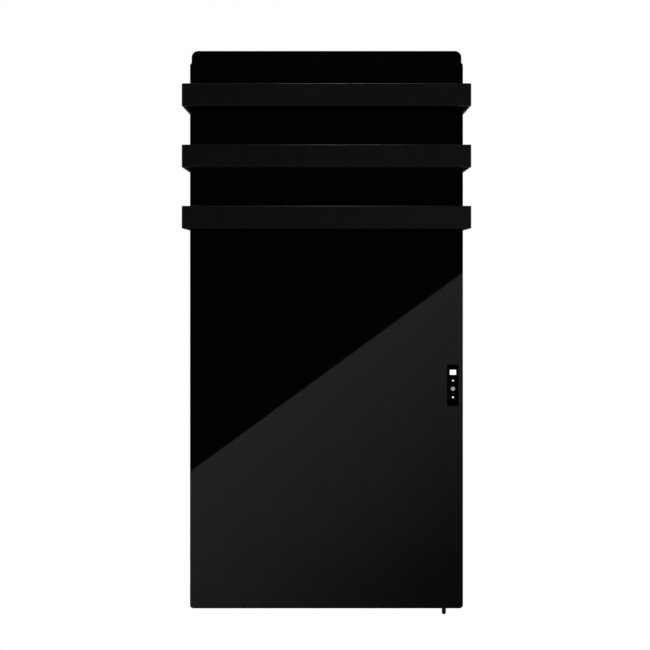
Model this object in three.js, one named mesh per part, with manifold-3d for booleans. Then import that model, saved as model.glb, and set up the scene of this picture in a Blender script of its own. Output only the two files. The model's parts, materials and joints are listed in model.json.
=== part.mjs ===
// A wall-hung glass panel heater with three towel rails.
// Millimetres. X runs to the right as seen from the room, +Y into the wall, +Z up.
// The origin is the centre of the wall bracket's back face, so the wall is the plane y = 0.
import * as THREE from "three";
import { mergeVertices } from "three/addons/utils/BufferGeometryUtils.js";
import Module from "manifold-3d";

const wasm = await Module();
wasm.setup();

// ---------------------------------------------------------------- driving sizes
const FIT = 0.3; // gap left between pieces that touch
const ROUND = 16; // sides of a small round piece
const FINE_ROUND = 28; // sides of a round piece that is seen from close by

const GLASS = { width: 500, height: 1000, thickness: 6, corner: 6.5, arris: 0.7 };
const WALL_GAP = 18; // wall to the back of the housing
const CASE = { depth: 42.3, inset: 1.6, sheet: 1.2, lip: 6, foot: 2, seamDrop: 30 };
const COWL = { rise: 23, corner: 12, wall: 2, slot: 24, slotWidth: 8, slotPitch: 31, rows: 2, rowPitch: 17 };
const GASKET = { thickness: 1.4, width: 5.5, inset: 1.4 };
const LAYER_MARGIN = { side: 12, end: 42 };
const FILM = 0.6;
const SPREADER = 1.5;
const INSULATION = 12;
const REFLECTOR = 0.8;

const RAIL = { count: 3, height: 40, strap: 5, reach: 60, gap: 2.7, topDrop: 50.4, pitch: 108.2 };
const RAIL_EDGE = { outer: 3, inner: 1, round: 1.4 };
const RAIL_FOOT = { screwDepth: 16, endDepth: 6, spread: 22 }; // measured from the housing's back
const RAIL_SCREW = { head: 4.2, headHeight: 1.8, shank: 2.3, bite: 9, socket: 3, socketDepth: 1.1 };
const SPACER = { ahead: 7, behind: 9, height: 36 }; // about its screws, and along the rail's height

const MODULE = { sideCover: 2.1, endCover: 3.75, proud: 3, corner: 1.6, edge: 0.4, fromEdge: 18.8, z: -91.3 };
const MODULE_PLATE = 1.6;
const STEM = { inside: 0.5, height: 67, corner: 1.5, wall: 1.2, depth: 16, glassGap: 0.5, layerGap: 1.5 };
const DISPLAY = { module: 11.6, frame: 0.2, height: 9.7, window: 1.4, corner: 0.6, z: 24 };
const KEY = { radius: 3.5, proud: 0.5, round: 0.5, flange: 4.3, flangeThick: 0.8, plunger: 1.5 };
const KEY_PLACE = { okZ: -6.2, pitch: 15.2 };
const KEY_TRAVEL = 0.8;
const KEY_SPARE = 0.1; // left above a tact switch when its key is fully in
const TACT = { size: 6, body: 3.4, button: 1.6, buttonHeight: 0.5 };
const BOARD = 1.6;
const BOARD_DEPTH = 8.3; // glass front to the control board's front

const TRAY = { width: 150, height: 110, wall: 1.6, fromSide: 14, fromFoot: 58 };
const POWER_BOARD = { standoff: 4, post: 2.5, glandSide: 36, margin: 5, partGap: 6 };
const RELAY = { width: 19, height: 15.5, depth: 15 };
const TRANSFORMER = { width: 34, height: 30, depth: 14 };
const TERMINAL = { width: 36, height: 12, depth: 12, ways: 3, screw: 2.4, screwDepth: 4 };
const GLAND = { hex: 16, hexHeight: 9, length: 13, nose: 6.8, mouth: 5.2, thread: 5.8, bore: 3.5, nut: 4 };
const GLAND_PLACE = { fromTraySide: 19, fromTrayFoot: 22, spareThread: 2 };
const CUTOUT = { radius: 8, thickness: 4, blade: 6, z: 150 };

const SWITCH = { width: 15, height: 29, wall: 1.4, bezel: 1.6, rim: 2, cavity: 8, body: 19 };
const SWITCH_PLACE = { aboveTray: 66, ahead: 18 };
const ROCKER = { half: 12, crown: 4.5, waist: 3.2, root: 1.6, pivotIn: 1.9, tilt: 8 };

const PROBE = { radius: 3.8, below: 20, length: 55, fromEdge: 31.9, behindFront: 25 };
const GROMMET = { outer: 7.5, neck: 5.6, flange: 1.5 };
const INTAKE = { plate: 2, flange: 10, margin: 12 };
const INTAKE_SLOTS = { slot: 26, slotWidth: 8, slotPitch: 34, rows: 2, rowPitch: 16 };

const BRACKET = { spine: 80, arm: 320, armHeight: 50, endDrop: 200, sheet: 2, clear: 1 };
const HOOK = { x: 125, width: 30, lip: 10, reach: 4, slotDrop: 14, side: 1.5 };
const WALL_HOLE = { radius: 3.6, x: 145, slot: 8 };
const LOCK = { x: 100, lug: 24, lugSheet: 2, head: 4.4, headHeight: 2.6, shank: 2.3, rise: 6, fromWall: 9 };
const LOCK_SOCKET = { size: 3, depth: 1.4 };
const BUMPER = { radius: 10, x: 200, fromFoot: 48, chamfer: 1, dimple: 4, dimpleDepth: 1.5 };

// ---------------------------------------------------------------- stations worked out from them
const caseBack = -WALL_GAP;
const caseFront = caseBack - CASE.depth;
const gasketBack = caseFront - FIT;
const gasketFront = gasketBack - GASKET.thickness;
const glassBack = gasketFront - FIT;
const glassFront = glassBack - GLASS.thickness;

const glassTop = GLASS.height / 2;
const glassFoot = -GLASS.height / 2;
const glassSide = GLASS.width / 2;
const caseSide = glassSide - CASE.inset;
const caseFoot = glassFoot + CASE.foot;
const seam = glassTop - CASE.seamDrop;
const cowlTop = glassTop + COWL.rise;
const insideBack = caseBack - CASE.sheet;
const insideSide = caseSide - CASE.sheet;

const layers = [
  { name: "heating_film", thickness: FILM },
  { name: "heat_spreader", thickness: SPREADER },
  { name: "insulation_board", thickness: INSULATION },
  { name: "reflector_plate", thickness: REFLECTOR },
];
let layerStart = glassBack + FIT;
for (const layer of layers) {
  layer.front = layerStart;
  layer.back = layerStart + layer.thickness;
  layerStart = layer.back + FIT;
}
const stackBack = layerStart; // the first free depth behind the layers

const railInner = caseSide + RAIL.gap;
const railOuter = railInner + RAIL.strap;
const railFront = glassFront - RAIL.reach;
const railScrewY = caseBack - RAIL_FOOT.screwDepth;

const moduleX = glassSide - MODULE.fromEdge;
const plateFront = glassFront - MODULE.proud;
const plateBack = plateFront + MODULE_PLATE;
const stemInside = Math.max(DISPLAY.module, 2 * KEY.flange) + 2 * STEM.inside;
const stemWidth = stemInside + 2 * STEM.wall;
const moduleWidth = stemWidth + 2 * (STEM.glassGap + MODULE.sideCover);
const moduleHeight = STEM.height + 2 * (STEM.glassGap + MODULE.endCover);
const boardFront = glassFront + BOARD_DEPTH;
const stemBack = glassFront + STEM.depth;

const trayRight = insideSide - TRAY.fromSide;
const trayLeft = trayRight - TRAY.width;
const trayFoot = caseFoot + TRAY.fromFoot;
const trayTop = trayFoot + TRAY.height;
const trayBack = insideBack - FIT;
const lidFront = stackBack;
const lidBack = lidFront + TRAY.wall;
const trayFront = lidBack + FIT;
const glandX = trayLeft + GLAND_PLACE.fromTraySide;
const glandZ = trayFoot + GLAND_PLACE.fromTrayFoot;
const switchZ = trayTop + SWITCH_PLACE.aboveTray;
const switchY = caseBack - SWITCH_PLACE.ahead;

const probeX = glassSide - PROBE.fromEdge;
const probeY = glassFront + PROBE.behindFront;
const intakeFoot = caseFoot + FIT;
const intakeTop = intakeFoot + INTAKE.plate;

const bracketFront = caseBack + BRACKET.clear;
const armZ = glassTop - BRACKET.endDrop;
const armTop = armZ + BRACKET.armHeight / 2;
const lockY = -LOCK.fromWall;

// ---------------------------------------------------------------- materials
function finish(color, roughness, metalness = 0) {
  return new THREE.MeshStandardMaterial({ color, roughness, metalness });
}
const BLACK_GLASS = finish(0x050405, 0.04);
const BLACK_COAT = finish(0x121212, 0.55, 0.3);
const BLACK_PLASTIC = finish(0x0a0a0a, 0.5);
const GREY_PLASTIC = finish(0xa5a5a5, 0.45);
const WHITE_WINDOW = finish(0xfdfdfd, 0.3);
const RUBBER = finish(0x151515, 0.9);
const ALUMINIUM = finish(0xc4c6c8, 0.35, 1);
const STEEL = finish(0xb4b6b8, 0.4, 1);
const DARK_STEEL = finish(0x1c1c1d, 0.45, 0.8);
const FILM_BLACK = finish(0x2a2522, 0.7);
const MINERAL = finish(0xd9d4c4, 0.95);
const CIRCUIT = finish(0x1f5b36, 0.5);
const WHITE_PLASTIC = finish(0xe6e4de, 0.5);
const BLUE_PLASTIC = finish(0x2b4f8c, 0.5);

// ---------------------------------------------------------------- solids
// The closed solid of a geometry, with its shared corners merged.
function solid(geometry) {
  const bare = geometry.clone();
  bare.deleteAttribute("normal");
  bare.deleteAttribute("uv");
  const merged = mergeVertices(bare, 1e-4);
  return new wasm.Manifold(
    new wasm.Mesh({
      numProp: 3,
      vertProperties: new Float32Array(merged.attributes.position.array),
      triVerts: new Uint32Array(merged.index.array),
    }),
  );
}

// A box between two corners.
function box(x0, x1, y0, y1, z0, z1) {
  const geometry = new THREE.BoxGeometry(x1 - x0, y1 - y0, z1 - z0);
  geometry.translate((x0 + x1) / 2, (y0 + y1) / 2, (z0 + z1) / 2);
  return solid(geometry);
}

// A rectangle with round corners, centred on (cx, cy); each corner may have its own radius.
function roundedOutline(width, height, radii, cx = 0, cy = 0) {
  const [bottomRight, topRight, topLeft, bottomLeft] = Array.isArray(radii) ? radii : Array(4).fill(radii);
  const right = cx + width / 2;
  const left = cx - width / 2;
  const top = cy + height / 2;
  const foot = cy - height / 2;
  const shape = new THREE.Shape();
  const corner = (x, y, r, start) => {
    if (r > 0) shape.absarc(x, y, r, start, start + Math.PI / 2, false);
    else shape.lineTo(x, y);
  };
  shape.moveTo(left + bottomLeft, foot);
  shape.lineTo(right - bottomRight, foot);
  corner(right - bottomRight, foot + bottomRight, bottomRight, -Math.PI / 2);
  corner(right - topRight, top - topRight, topRight, 0);
  corner(left + topLeft, top - topLeft, topLeft, Math.PI / 2);
  corner(left + bottomLeft, foot + bottomLeft, bottomLeft, Math.PI);
  shape.closePath();
  return shape;
}

// An outline drawn in x and z as seen from the room, made solid from y0 to y1.
function slab(shape, y0, y1, { edge = 0, edgeSteps = 2, curve = 3 } = {}) {
  const geometry = new THREE.ExtrudeGeometry(shape, {
    depth: y1 - y0 - 2 * edge,
    bevelEnabled: edge > 0,
    bevelThickness: edge,
    bevelSize: edge,
    bevelOffset: -edge,
    bevelSegments: edgeSteps,
    curveSegments: curve,
  });
  geometry.rotateX(Math.PI / 2);
  geometry.translate(0, y1 - edge, 0);
  return solid(geometry);
}

// A plan outline in x and y, made solid from z0 to z1.
function column(shape, z0, z1, { edge = 0, edgeSteps = 2, curve = 2 } = {}) {
  const geometry = new THREE.ExtrudeGeometry(shape, {
    depth: z1 - z0 - 2 * edge,
    bevelEnabled: edge > 0,
    bevelThickness: edge,
    bevelSize: edge,
    bevelOffset: -edge,
    bevelSegments: edgeSteps,
    curveSegments: curve,
  });
  geometry.translate(0, 0, z0 + edge);
  return solid(geometry);
}

// A profile of [radius, height] pairs from axis to axis, turned about +Y, then laid along another axis.
function turned(profile, axis = "y", sides = ROUND) {
  const points = profile.map(([radius, height]) => new THREE.Vector2(radius, height));
  const geometry = new THREE.LatheGeometry(points, sides);
  if (axis === "x") geometry.rotateZ(-Math.PI / 2);
  if (axis === "z") geometry.rotateX(Math.PI / 2);
  return solid(geometry);
}

// A plain round bar of the given radius along an axis, from one height to another.
function bar(radius, from, to, axis = "y", sides = ROUND) {
  return turned([[0, from], [radius, from], [radius, to], [0, to]], axis, sides);
}

// A six-sided bar, its size measured across the flats.
function hexBar(acrossFlats, from, to, axis = "y") {
  return bar(acrossFlats / Math.sqrt(3), from, to, axis, 6);
}

// Evenly pitched places along a line, as many as fit in the given length.
function places(length, item, pitch) {
  const count = Math.max(1, Math.floor((length - item) / pitch) + 1);
  return Array.from({ length: count }, (_, i) => (i - (count - 1) / 2) * pitch);
}

// Round-ended slots in rows, cut downwards; used by the outlet and the intake.
function slotField(halfWidth, yCentre, z0, z1, size) {
  const cutters = [];
  for (const x of places(2 * halfWidth, size.slot, size.slotPitch)) {
    for (let row = 0; row < size.rows; row++) {
      const y = yCentre + (row - (size.rows - 1) / 2) * size.rowPitch;
      const outline = roundedOutline(size.slot, size.slotWidth, size.slotWidth / 2 - 0.01, x, y);
      cutters.push({ x, solid: column(outline, z0, z1, { curve: 1 }) });
    }
  }
  return cutters;
}

const heater = new THREE.Group();

// Puts a finished solid into a group as a named mesh.
function place(name, body, material, parent = heater, position = [0, 0, 0], rotation = [0, 0, 0]) {
  const mesh = body.getMesh();
  const geometry = new THREE.BufferGeometry();
  geometry.setAttribute("position", new THREE.BufferAttribute(new Float32Array(mesh.vertProperties), 3));
  geometry.setIndex(new THREE.BufferAttribute(new Uint32Array(mesh.triVerts), 1));
  geometry.computeVertexNormals();
  const piece = new THREE.Mesh(geometry, material);
  piece.name = name;
  piece.position.set(...position);
  piece.rotation.set(...rotation);
  parent.add(piece);
  return piece;
}

function subGroup(x, y, z) {
  const group = new THREE.Group();
  group.position.set(x, y, z);
  heater.add(group);
  return group;
}

// ---------------------------------------------------------------- glass and the layers behind it
function glassPanel() {
  const outline = roundedOutline(GLASS.width, GLASS.height, GLASS.corner);
  const sheet = slab(outline, glassFront, glassBack, { edge: GLASS.arris });
  const gap = STEM.glassGap;
  const opening = roundedOutline(
    stemWidth + 2 * gap, STEM.height + 2 * gap, STEM.corner + gap, moduleX, MODULE.z,
  );
  const cutter = slab(opening, glassFront - 1, glassBack + 1, { curve: 1 });
  place("glass_panel", sheet.subtract(cutter), BLACK_GLASS);
}

function gasket() {
  const half = caseSide - GASKET.inset;
  const foot = caseFoot + GASKET.inset;
  const top = seam - GASKET.inset;
  const ring = box(-half, half, gasketFront, gasketBack, foot, top);
  const middle = box(
    -half + GASKET.width, half - GASKET.width, gasketFront - 1, gasketBack + 1,
    foot + GASKET.width, top - GASKET.width,
  );
  place("glass_gasket", ring.subtract(middle), RUBBER);
}

function heatingLayers() {
  const half = glassSide - LAYER_MARGIN.side;
  const end = glassTop - LAYER_MARGIN.end;
  const room = STEM.layerGap;
  const notch = box(
    moduleX - stemWidth / 2 - room, glassSide + 1, glassFront, caseBack,
    MODULE.z - STEM.height / 2 - room, MODULE.z + STEM.height / 2 + room,
  );
  const looks = [FILM_BLACK, ALUMINIUM, MINERAL, STEEL];
  layers.forEach((layer, i) => {
    const sheet = box(-half, half, layer.front, layer.back, -end, end);
    place(layer.name, sheet.subtract(notch), looks[i]);
  });
}

function thermalCutout() {
  const disc = bar(CUTOUT.radius, 0, CUTOUT.thickness);
  const blades = [-1, 1].map((side) => {
    const x = side * CUTOUT.radius * 0.5;
    return box(x - 2, x + 2, CUTOUT.thickness - 0.5, CUTOUT.thickness + CUTOUT.blade, -0.4, 0.4);
  });
  const cutout = disc.add(blades[0]).add(blades[1]);
  place("thermal_cutout", cutout, WHITE_PLASTIC, heater, [0, stackBack, CUTOUT.z]);
}

// ---------------------------------------------------------------- housing, cowl and intake
// How far below and above the rail's middle its two screws sit.
const screwRises = [-RAIL_FOOT.spread / 2, RAIL_FOOT.spread / 2];

function railMiddle(index) {
  return glassTop - RAIL.topDrop - RAIL.height / 2 - index * RAIL.pitch;
}

function rearHousing() {
  let body = box(-caseSide, caseSide, caseFront, caseBack, caseFoot, seam);
  body = body.subtract(
    box(-insideSide, insideSide, caseFront + CASE.sheet, insideBack, caseFoot - 1, seam + 1),
  );
  const window = caseSide - CASE.sheet - CASE.lip;
  body = body.subtract(
    box(-window, window, caseFront - 1, caseFront + CASE.sheet + 1, caseFoot + CASE.lip, seam - CASE.lip),
  );
  // screw holes for the rails
  for (let i = 0; i < RAIL.count; i++) {
    for (const rise of screwRises) {
      const hole = bar(RAIL_SCREW.shank + FIT, -caseSide - 1, caseSide + 1, "x", 12);
      body = body.subtract(hole.translate([0, railScrewY, railMiddle(i) + rise]));
    }
  }
  // slots that drop over the bracket's hooks, and the lugs that its lock screws hold
  for (const side of [-1, 1]) {
    const x = side * HOOK.x;
    const half = HOOK.width / 2 + HOOK.side;
    const slotFoot = armTop - HOOK.slotDrop;
    body = body.subtract(box(x - half, x + half, insideBack - 1, caseBack + 1, slotFoot, armTop + FIT));
    const lugX = side * LOCK.x;
    const lugTop = -armTop - FIT;
    let lug = box(
      lugX - LOCK.lug / 2, lugX + LOCK.lug / 2, insideBack, -BRACKET.sheet - FIT,
      lugTop - LOCK.lugSheet, lugTop,
    );
    lug = lug.subtract(
      bar(LOCK.shank + FIT, lugTop - LOCK.lugSheet - 1, lugTop + 1, "z", 16).translate([lugX, lockY, 0]),
    );
    body = body.add(lug);
  }
  // openings for the mains lead's gland and the rocker switch
  body = body.subtract(bar(GLAND.thread + FIT, insideBack - 1, caseBack + 1).translate([glandX, 0, glandZ]));
  body = body.subtract(
    box(
      insideSide - 1, caseSide + 1, switchY - SWITCH.width / 2 - FIT, switchY + SWITCH.width / 2 + FIT,
      switchZ - SWITCH.height / 2 - FIT, switchZ + SWITCH.height / 2 + FIT,
    ),
  );
  place("rear_housing", body, BLACK_COAT);
}

function outletCowl() {
  const foot = seam + FIT;
  const height = cowlTop - foot;
  const middle = (cowlTop + foot) / 2;
  const outline = roundedOutline(2 * caseSide, height, [0, COWL.corner, COWL.corner, 0], 0, middle);
  let shell = slab(outline, caseFront, caseBack, { curve: 4 });
  const innerCorner = COWL.corner - COWL.wall;
  const innerTop = cowlTop - COWL.wall;
  const hollow = roundedOutline(
    2 * (caseSide - COWL.wall), innerTop - foot + 1, [0, innerCorner, innerCorner, 0],
    0, (innerTop + foot - 1) / 2,
  );
  shell = shell.subtract(slab(hollow, caseFront + COWL.wall, caseBack - COWL.wall, { curve: 4 }));
  const half = caseSide - COWL.corner - COWL.wall;
  for (const cutter of slotField(half, (caseFront + caseBack) / 2, innerTop - 1, cowlTop + 1, COWL)) {
    shell = shell.subtract(cutter.solid);
  }
  place("top_outlet_cowl", shell, BLACK_COAT);
}

function intakeCover() {
  const half = insideSide - FIT;
  const front = caseFront + CASE.sheet + FIT;
  const back = insideBack - FIT;
  let cover = box(-half, half, front, back, intakeFoot, intakeTop);
  for (const side of [-1, 1]) {
    const outside = side * half;
    const inside = side * (half - INTAKE.plate);
    const flangeTop = intakeFoot + INTAKE.flange;
    const [x0, x1] = [Math.min(outside, inside), Math.max(outside, inside)];
    cover = cover.add(box(x0, x1, front, back, intakeFoot, flangeTop));
  }
  const clear = GROMMET.outer + INTAKE_SLOTS.slot / 2;
  const [cutFoot, cutTop] = [intakeFoot - 1, intakeTop + 1];
  for (const cutter of slotField(half - INTAKE.margin, (front + back) / 2, cutFoot, cutTop, INTAKE_SLOTS)) {
    const nearProbe = Math.abs(cutter.x - probeX) < clear;
    if (!nearProbe) cover = cover.subtract(cutter.solid);
  }
  const probeHole = bar(GROMMET.neck + FIT, cutFoot, cutTop, "z");
  cover = cover.subtract(probeHole.translate([probeX, probeY, 0]));
  place("bottom_intake_cover", cover, BLACK_PLASTIC);
}

// ---------------------------------------------------------------- towel rails
// The rail's plan: a flat strap bent into a wide U, open towards the wall.
function railOutline() {
  const legEnd = caseBack - RAIL_FOOT.endDepth;
  const inside = railFront + RAIL.strap;
  const { outer, inner } = RAIL_EDGE;
  const shape = new THREE.Shape();
  shape.moveTo(-railOuter, legEnd);
  shape.lineTo(-railOuter, railFront + outer);
  shape.absarc(-railOuter + outer, railFront + outer, outer, Math.PI, 1.5 * Math.PI, false);
  shape.absarc(railOuter - outer, railFront + outer, outer, 1.5 * Math.PI, 2 * Math.PI, false);
  shape.lineTo(railOuter, legEnd);
  shape.lineTo(railInner, legEnd);
  shape.lineTo(railInner, inside + inner);
  shape.absarc(railInner - inner, inside + inner, inner, 0, -Math.PI / 2, true);
  shape.absarc(-railInner + inner, inside + inner, inner, -Math.PI / 2, -Math.PI, true);
  shape.lineTo(-railInner, legEnd);
  shape.closePath();
  return shape;
}

function screwSolid() {
  const { head, headHeight, shank, bite, socket, socketDepth } = RAIL_SCREW;
  const tip = caseSide - CASE.sheet - bite;
  const seat = railOuter - headHeight;
  const body = turned(
    [[0, tip], [shank - 0.5, tip], [shank, tip + 0.5], [shank, seat], [head, seat],
      [head, railOuter - 0.5], [head - 0.6, railOuter], [0, railOuter]],
    "x", 12,
  );
  return body.subtract(hexBar(socket, railOuter - socketDepth, railOuter + 1, "x"));
}

function towelRails() {
  const names = ["top", "middle", "bottom"];
  const counterbore = RAIL_SCREW.headHeight + FIT;
  for (let i = 0; i < RAIL.count; i++) {
    const group = subGroup(0, 0, railMiddle(i));
    let rail = column(railOutline(), -RAIL.height / 2, RAIL.height / 2, { edge: RAIL_EDGE.round });
    for (const rise of screwRises) {
      const hole = bar(RAIL_SCREW.shank + FIT, -railOuter - 1, railOuter + 1, "x", 12);
      rail = rail.subtract(hole.translate([0, railScrewY, rise]));
      for (const side of [-1, 1]) {
        const deep = side * (railOuter - counterbore);
        const out = side * (railOuter + 1);
        const recess = bar(RAIL_SCREW.head + FIT, Math.min(deep, out), Math.max(deep, out), "x");
        rail = rail.subtract(recess.translate([0, railScrewY, rise]));
      }
    }
    const label = names[i] ?? `extra_${i + 1}`;
    place(`towel_rail_${label}`, rail, BLACK_COAT, group);
    for (const [hand, side] of [["left", -1], ["right", 1]]) {
      const from = side * (caseSide + FIT);
      const to = side * (railInner - FIT);
      let spacer = box(
        Math.min(from, to), Math.max(from, to), railScrewY - SPACER.ahead, railScrewY + SPACER.behind,
        -SPACER.height / 2, SPACER.height / 2,
      );
      screwRises.forEach((rise, k) => {
        const hole = bar(RAIL_SCREW.shank + FIT, Math.min(from, to) - 1, Math.max(from, to) + 1, "x", 12);
        spacer = spacer.subtract(hole.translate([0, railScrewY, rise]));
        const turn = side > 0 ? 0 : Math.PI;
        const height = k === 0 ? "lower" : "upper";
        const name = `rail_screw_${label}_${hand}_${height}`;
        place(name, screwSolid(), DARK_STEEL, group, [0, railScrewY, rise], [0, 0, turn]);
      });
      place(`rail_spacer_${label}_${hand}`, spacer, RUBBER, group);
    }
  }
}

// ---------------------------------------------------------------- control module
const keyPlaces = {
  key_up: KEY_PLACE.okZ + KEY_PLACE.pitch,
  key_ok: KEY_PLACE.okZ,
  key_down: KEY_PLACE.okZ - KEY_PLACE.pitch,
};

function controlModule() {
  const group = subGroup(moduleX, 0, MODULE.z);
  const inner = { width: stemInside, height: STEM.height - 2 * STEM.wall };
  const paneWidth = DISPLAY.module + 2 * DISPLAY.frame;

  // bezel and stem in one moulding, open at the back
  const bezel = slab(
    roundedOutline(moduleWidth, moduleHeight, MODULE.corner), plateFront, glassFront - FIT,
    { edge: MODULE.edge, curve: 2 },
  );
  const stem = slab(roundedOutline(stemWidth, STEM.height, STEM.corner), plateBack, stemBack, { curve: 1 });
  let housing = bezel.add(stem).subtract(
    box(-inner.width / 2, inner.width / 2, plateBack, stemBack + 1, -inner.height / 2, inner.height / 2),
  );
  housing = housing.subtract(
    box(
      -paneWidth / 2 - FIT, paneWidth / 2 + FIT, plateFront - 1, plateBack + 1,
      DISPLAY.z - DISPLAY.height / 2 - FIT, DISPLAY.z + DISPLAY.height / 2 + FIT,
    ),
  );
  for (const z of Object.values(keyPlaces)) {
    const keyHole = bar(KEY.radius + FIT, plateFront - 1, plateBack + 1, "y", FINE_ROUND);
    housing = housing.subtract(keyHole.translate([0, 0, z]));
  }
  place("control_housing", housing, BLACK_PLASTIC, group);

  const paneOutline = roundedOutline(paneWidth, DISPLAY.height, DISPLAY.corner);
  const pane = slab(paneOutline, plateFront, plateFront + DISPLAY.window, { curve: 1 });
  place("display_window", pane, WHITE_WINDOW, group, [0, 0, DISPLAY.z]);
  const half = DISPLAY.module / 2;
  const lit = box(-half, half, plateBack + FIT, boardFront - FIT, -half, half);
  place("display_module", lit, WHITE_PLASTIC, group, [0, 0, DISPLAY.z]);

  const board = box(
    -inner.width / 2 + FIT, inner.width / 2 - FIT, boardFront, boardFront + BOARD,
    -inner.height / 2 + FIT, inner.height / 2 - FIT,
  );
  place("control_board", board, CIRCUIT, group);

  // each key: round cap, a flange behind the bezel and a plunger that stops just short of its switch
  const switchBack = boardFront - FIT;
  const bodyFront = switchBack - TACT.body;
  const buttonFront = bodyFront - TACT.buttonHeight;
  const plungerTip = buttonFront - KEY_TRAVEL - KEY_SPARE;
  const capFront = plateFront - KEY.proud;
  const flangeFront = plateBack + FIT;
  for (const [name, z] of Object.entries(keyPlaces)) {
    const key = turned(
      [[0, capFront], [KEY.radius - KEY.round, capFront],
        [KEY.radius - 0.3 * KEY.round, capFront + 0.3 * KEY.round],
        [KEY.radius, capFront + KEY.round], [KEY.radius, flangeFront], [KEY.flange, flangeFront],
        [KEY.flange, flangeFront + KEY.flangeThick], [KEY.plunger, flangeFront + KEY.flangeThick],
        [KEY.plunger, plungerTip], [0, plungerTip]],
      "y", FINE_ROUND,
    );
    place(name, key, name === "key_ok" ? GREY_PLASTIC : BLACK_PLASTIC, group, [0, 0, z]);
    const tact = box(-TACT.size / 2, TACT.size / 2, bodyFront, switchBack, -TACT.size / 2, TACT.size / 2)
      .add(bar(TACT.button, buttonFront, bodyFront + 0.5, "y", 16));
    place(name.replace("key", "tact_switch"), tact, DARK_STEEL, group, [0, 0, z]);
  }
}

// ---------------------------------------------------------------- electronics
function electronics() {
  const group = subGroup((trayLeft + trayRight) / 2, 0, (trayFoot + trayTop) / 2);
  const halfX = TRAY.width / 2;
  const halfZ = TRAY.height / 2;
  const wall = TRAY.wall;
  const glandAt = [glandX - group.position.x, 0, glandZ - group.position.z];
  let tray = box(-halfX, halfX, trayFront, trayBack, -halfZ, halfZ);
  const [roomX, roomZ] = [halfX - wall, halfZ - wall];
  tray = tray.subtract(box(-roomX, roomX, trayFront - 1, trayBack - wall, -roomZ, roomZ));
  tray = tray.subtract(bar(GLAND.thread + FIT, trayBack - wall - 1, trayBack + 1).translate(glandAt));
  const boardBack = trayBack - wall - POWER_BOARD.standoff;
  const boardLeft = -halfX + wall + POWER_BOARD.glandSide;
  const boardRight = halfX - wall - POWER_BOARD.margin;
  const boardHalf = halfZ - wall - POWER_BOARD.margin;
  const postInset = 2 * POWER_BOARD.post;
  for (const x of [boardLeft + postInset, boardRight - postInset]) {
    for (const z of [-boardHalf + postInset, boardHalf - postInset]) {
      const post = bar(POWER_BOARD.post, boardBack + FIT, trayBack - wall + 0.5, "y", 12);
      tray = tray.add(post.translate([x, 0, z]));
    }
  }
  place("electronics_tray", tray, BLACK_PLASTIC, group);
  place("electronics_lid", box(-halfX, halfX, lidFront, lidBack, -halfZ, halfZ), BLACK_PLASTIC, group);

  const board = box(boardLeft, boardRight, boardBack - BOARD, boardBack, -boardHalf, boardHalf);
  place("power_board", board, CIRCUIT, group);

  const onBoard = boardBack - BOARD - FIT;
  const block = ({ width, height, depth }) =>
    box(-width / 2, width / 2, onBoard - depth, onBoard, -height / 2, height / 2);
  const leftOf = (size) => boardLeft + size.width / 2 + POWER_BOARD.partGap;
  const topOf = (size) => boardHalf - size.height / 2 - POWER_BOARD.partGap;
  const transformerX = boardRight - TRANSFORMER.width / 2 - POWER_BOARD.partGap;
  place("relay", block(RELAY), BLUE_PLASTIC, group, [leftOf(RELAY), 0, topOf(RELAY)]);
  place("transformer", block(TRANSFORMER), WHITE_PLASTIC, group, [transformerX, 0, topOf(TRANSFORMER)]);
  let terminals = block(TERMINAL);
  const way = TERMINAL.width / TERMINAL.ways;
  const terminalFront = onBoard - TERMINAL.depth;
  for (const x of places(TERMINAL.width, way, way)) {
    const well = bar(TERMINAL.screw, terminalFront - 1, terminalFront + TERMINAL.screwDepth, "y", 12);
    terminals = terminals.subtract(well.translate([x, 0, 0]));
  }
  place("terminal_block", terminals, WHITE_PLASTIC, group, [leftOf(TERMINAL), 0, -topOf(TERMINAL)]);

  // cable gland through the back sheet and the tray, with its nut inside the tray
  const headBack = caseBack + FIT;
  const nutBack = trayBack - wall - FIT;
  const threadEnd = nutBack - GLAND.nut - GLAND_PLACE.spareThread;
  const hexEnd = headBack + GLAND.hexHeight;
  const noseEnd = headBack + GLAND.length;
  let gland = hexBar(GLAND.hex, headBack, hexEnd)
    .add(bar(GLAND.thread, threadEnd, headBack + 0.5))
    .add(turned([[0, headBack], [GLAND.nose, headBack], [GLAND.nose, hexEnd + 2],
      [GLAND.mouth, noseEnd], [0, noseEnd]]));
  gland = gland.subtract(bar(GLAND.bore, threadEnd - 1, noseEnd + 1));
  place("cable_gland", gland, BLACK_PLASTIC, group, glandAt);
  const nut = hexBar(GLAND.hex, nutBack - GLAND.nut, nutBack)
    .subtract(bar(GLAND.thread + FIT, nutBack - GLAND.nut - 1, nutBack + 1));
  place("gland_nut", nut, BLACK_PLASTIC, group, glandAt);
}

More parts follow.
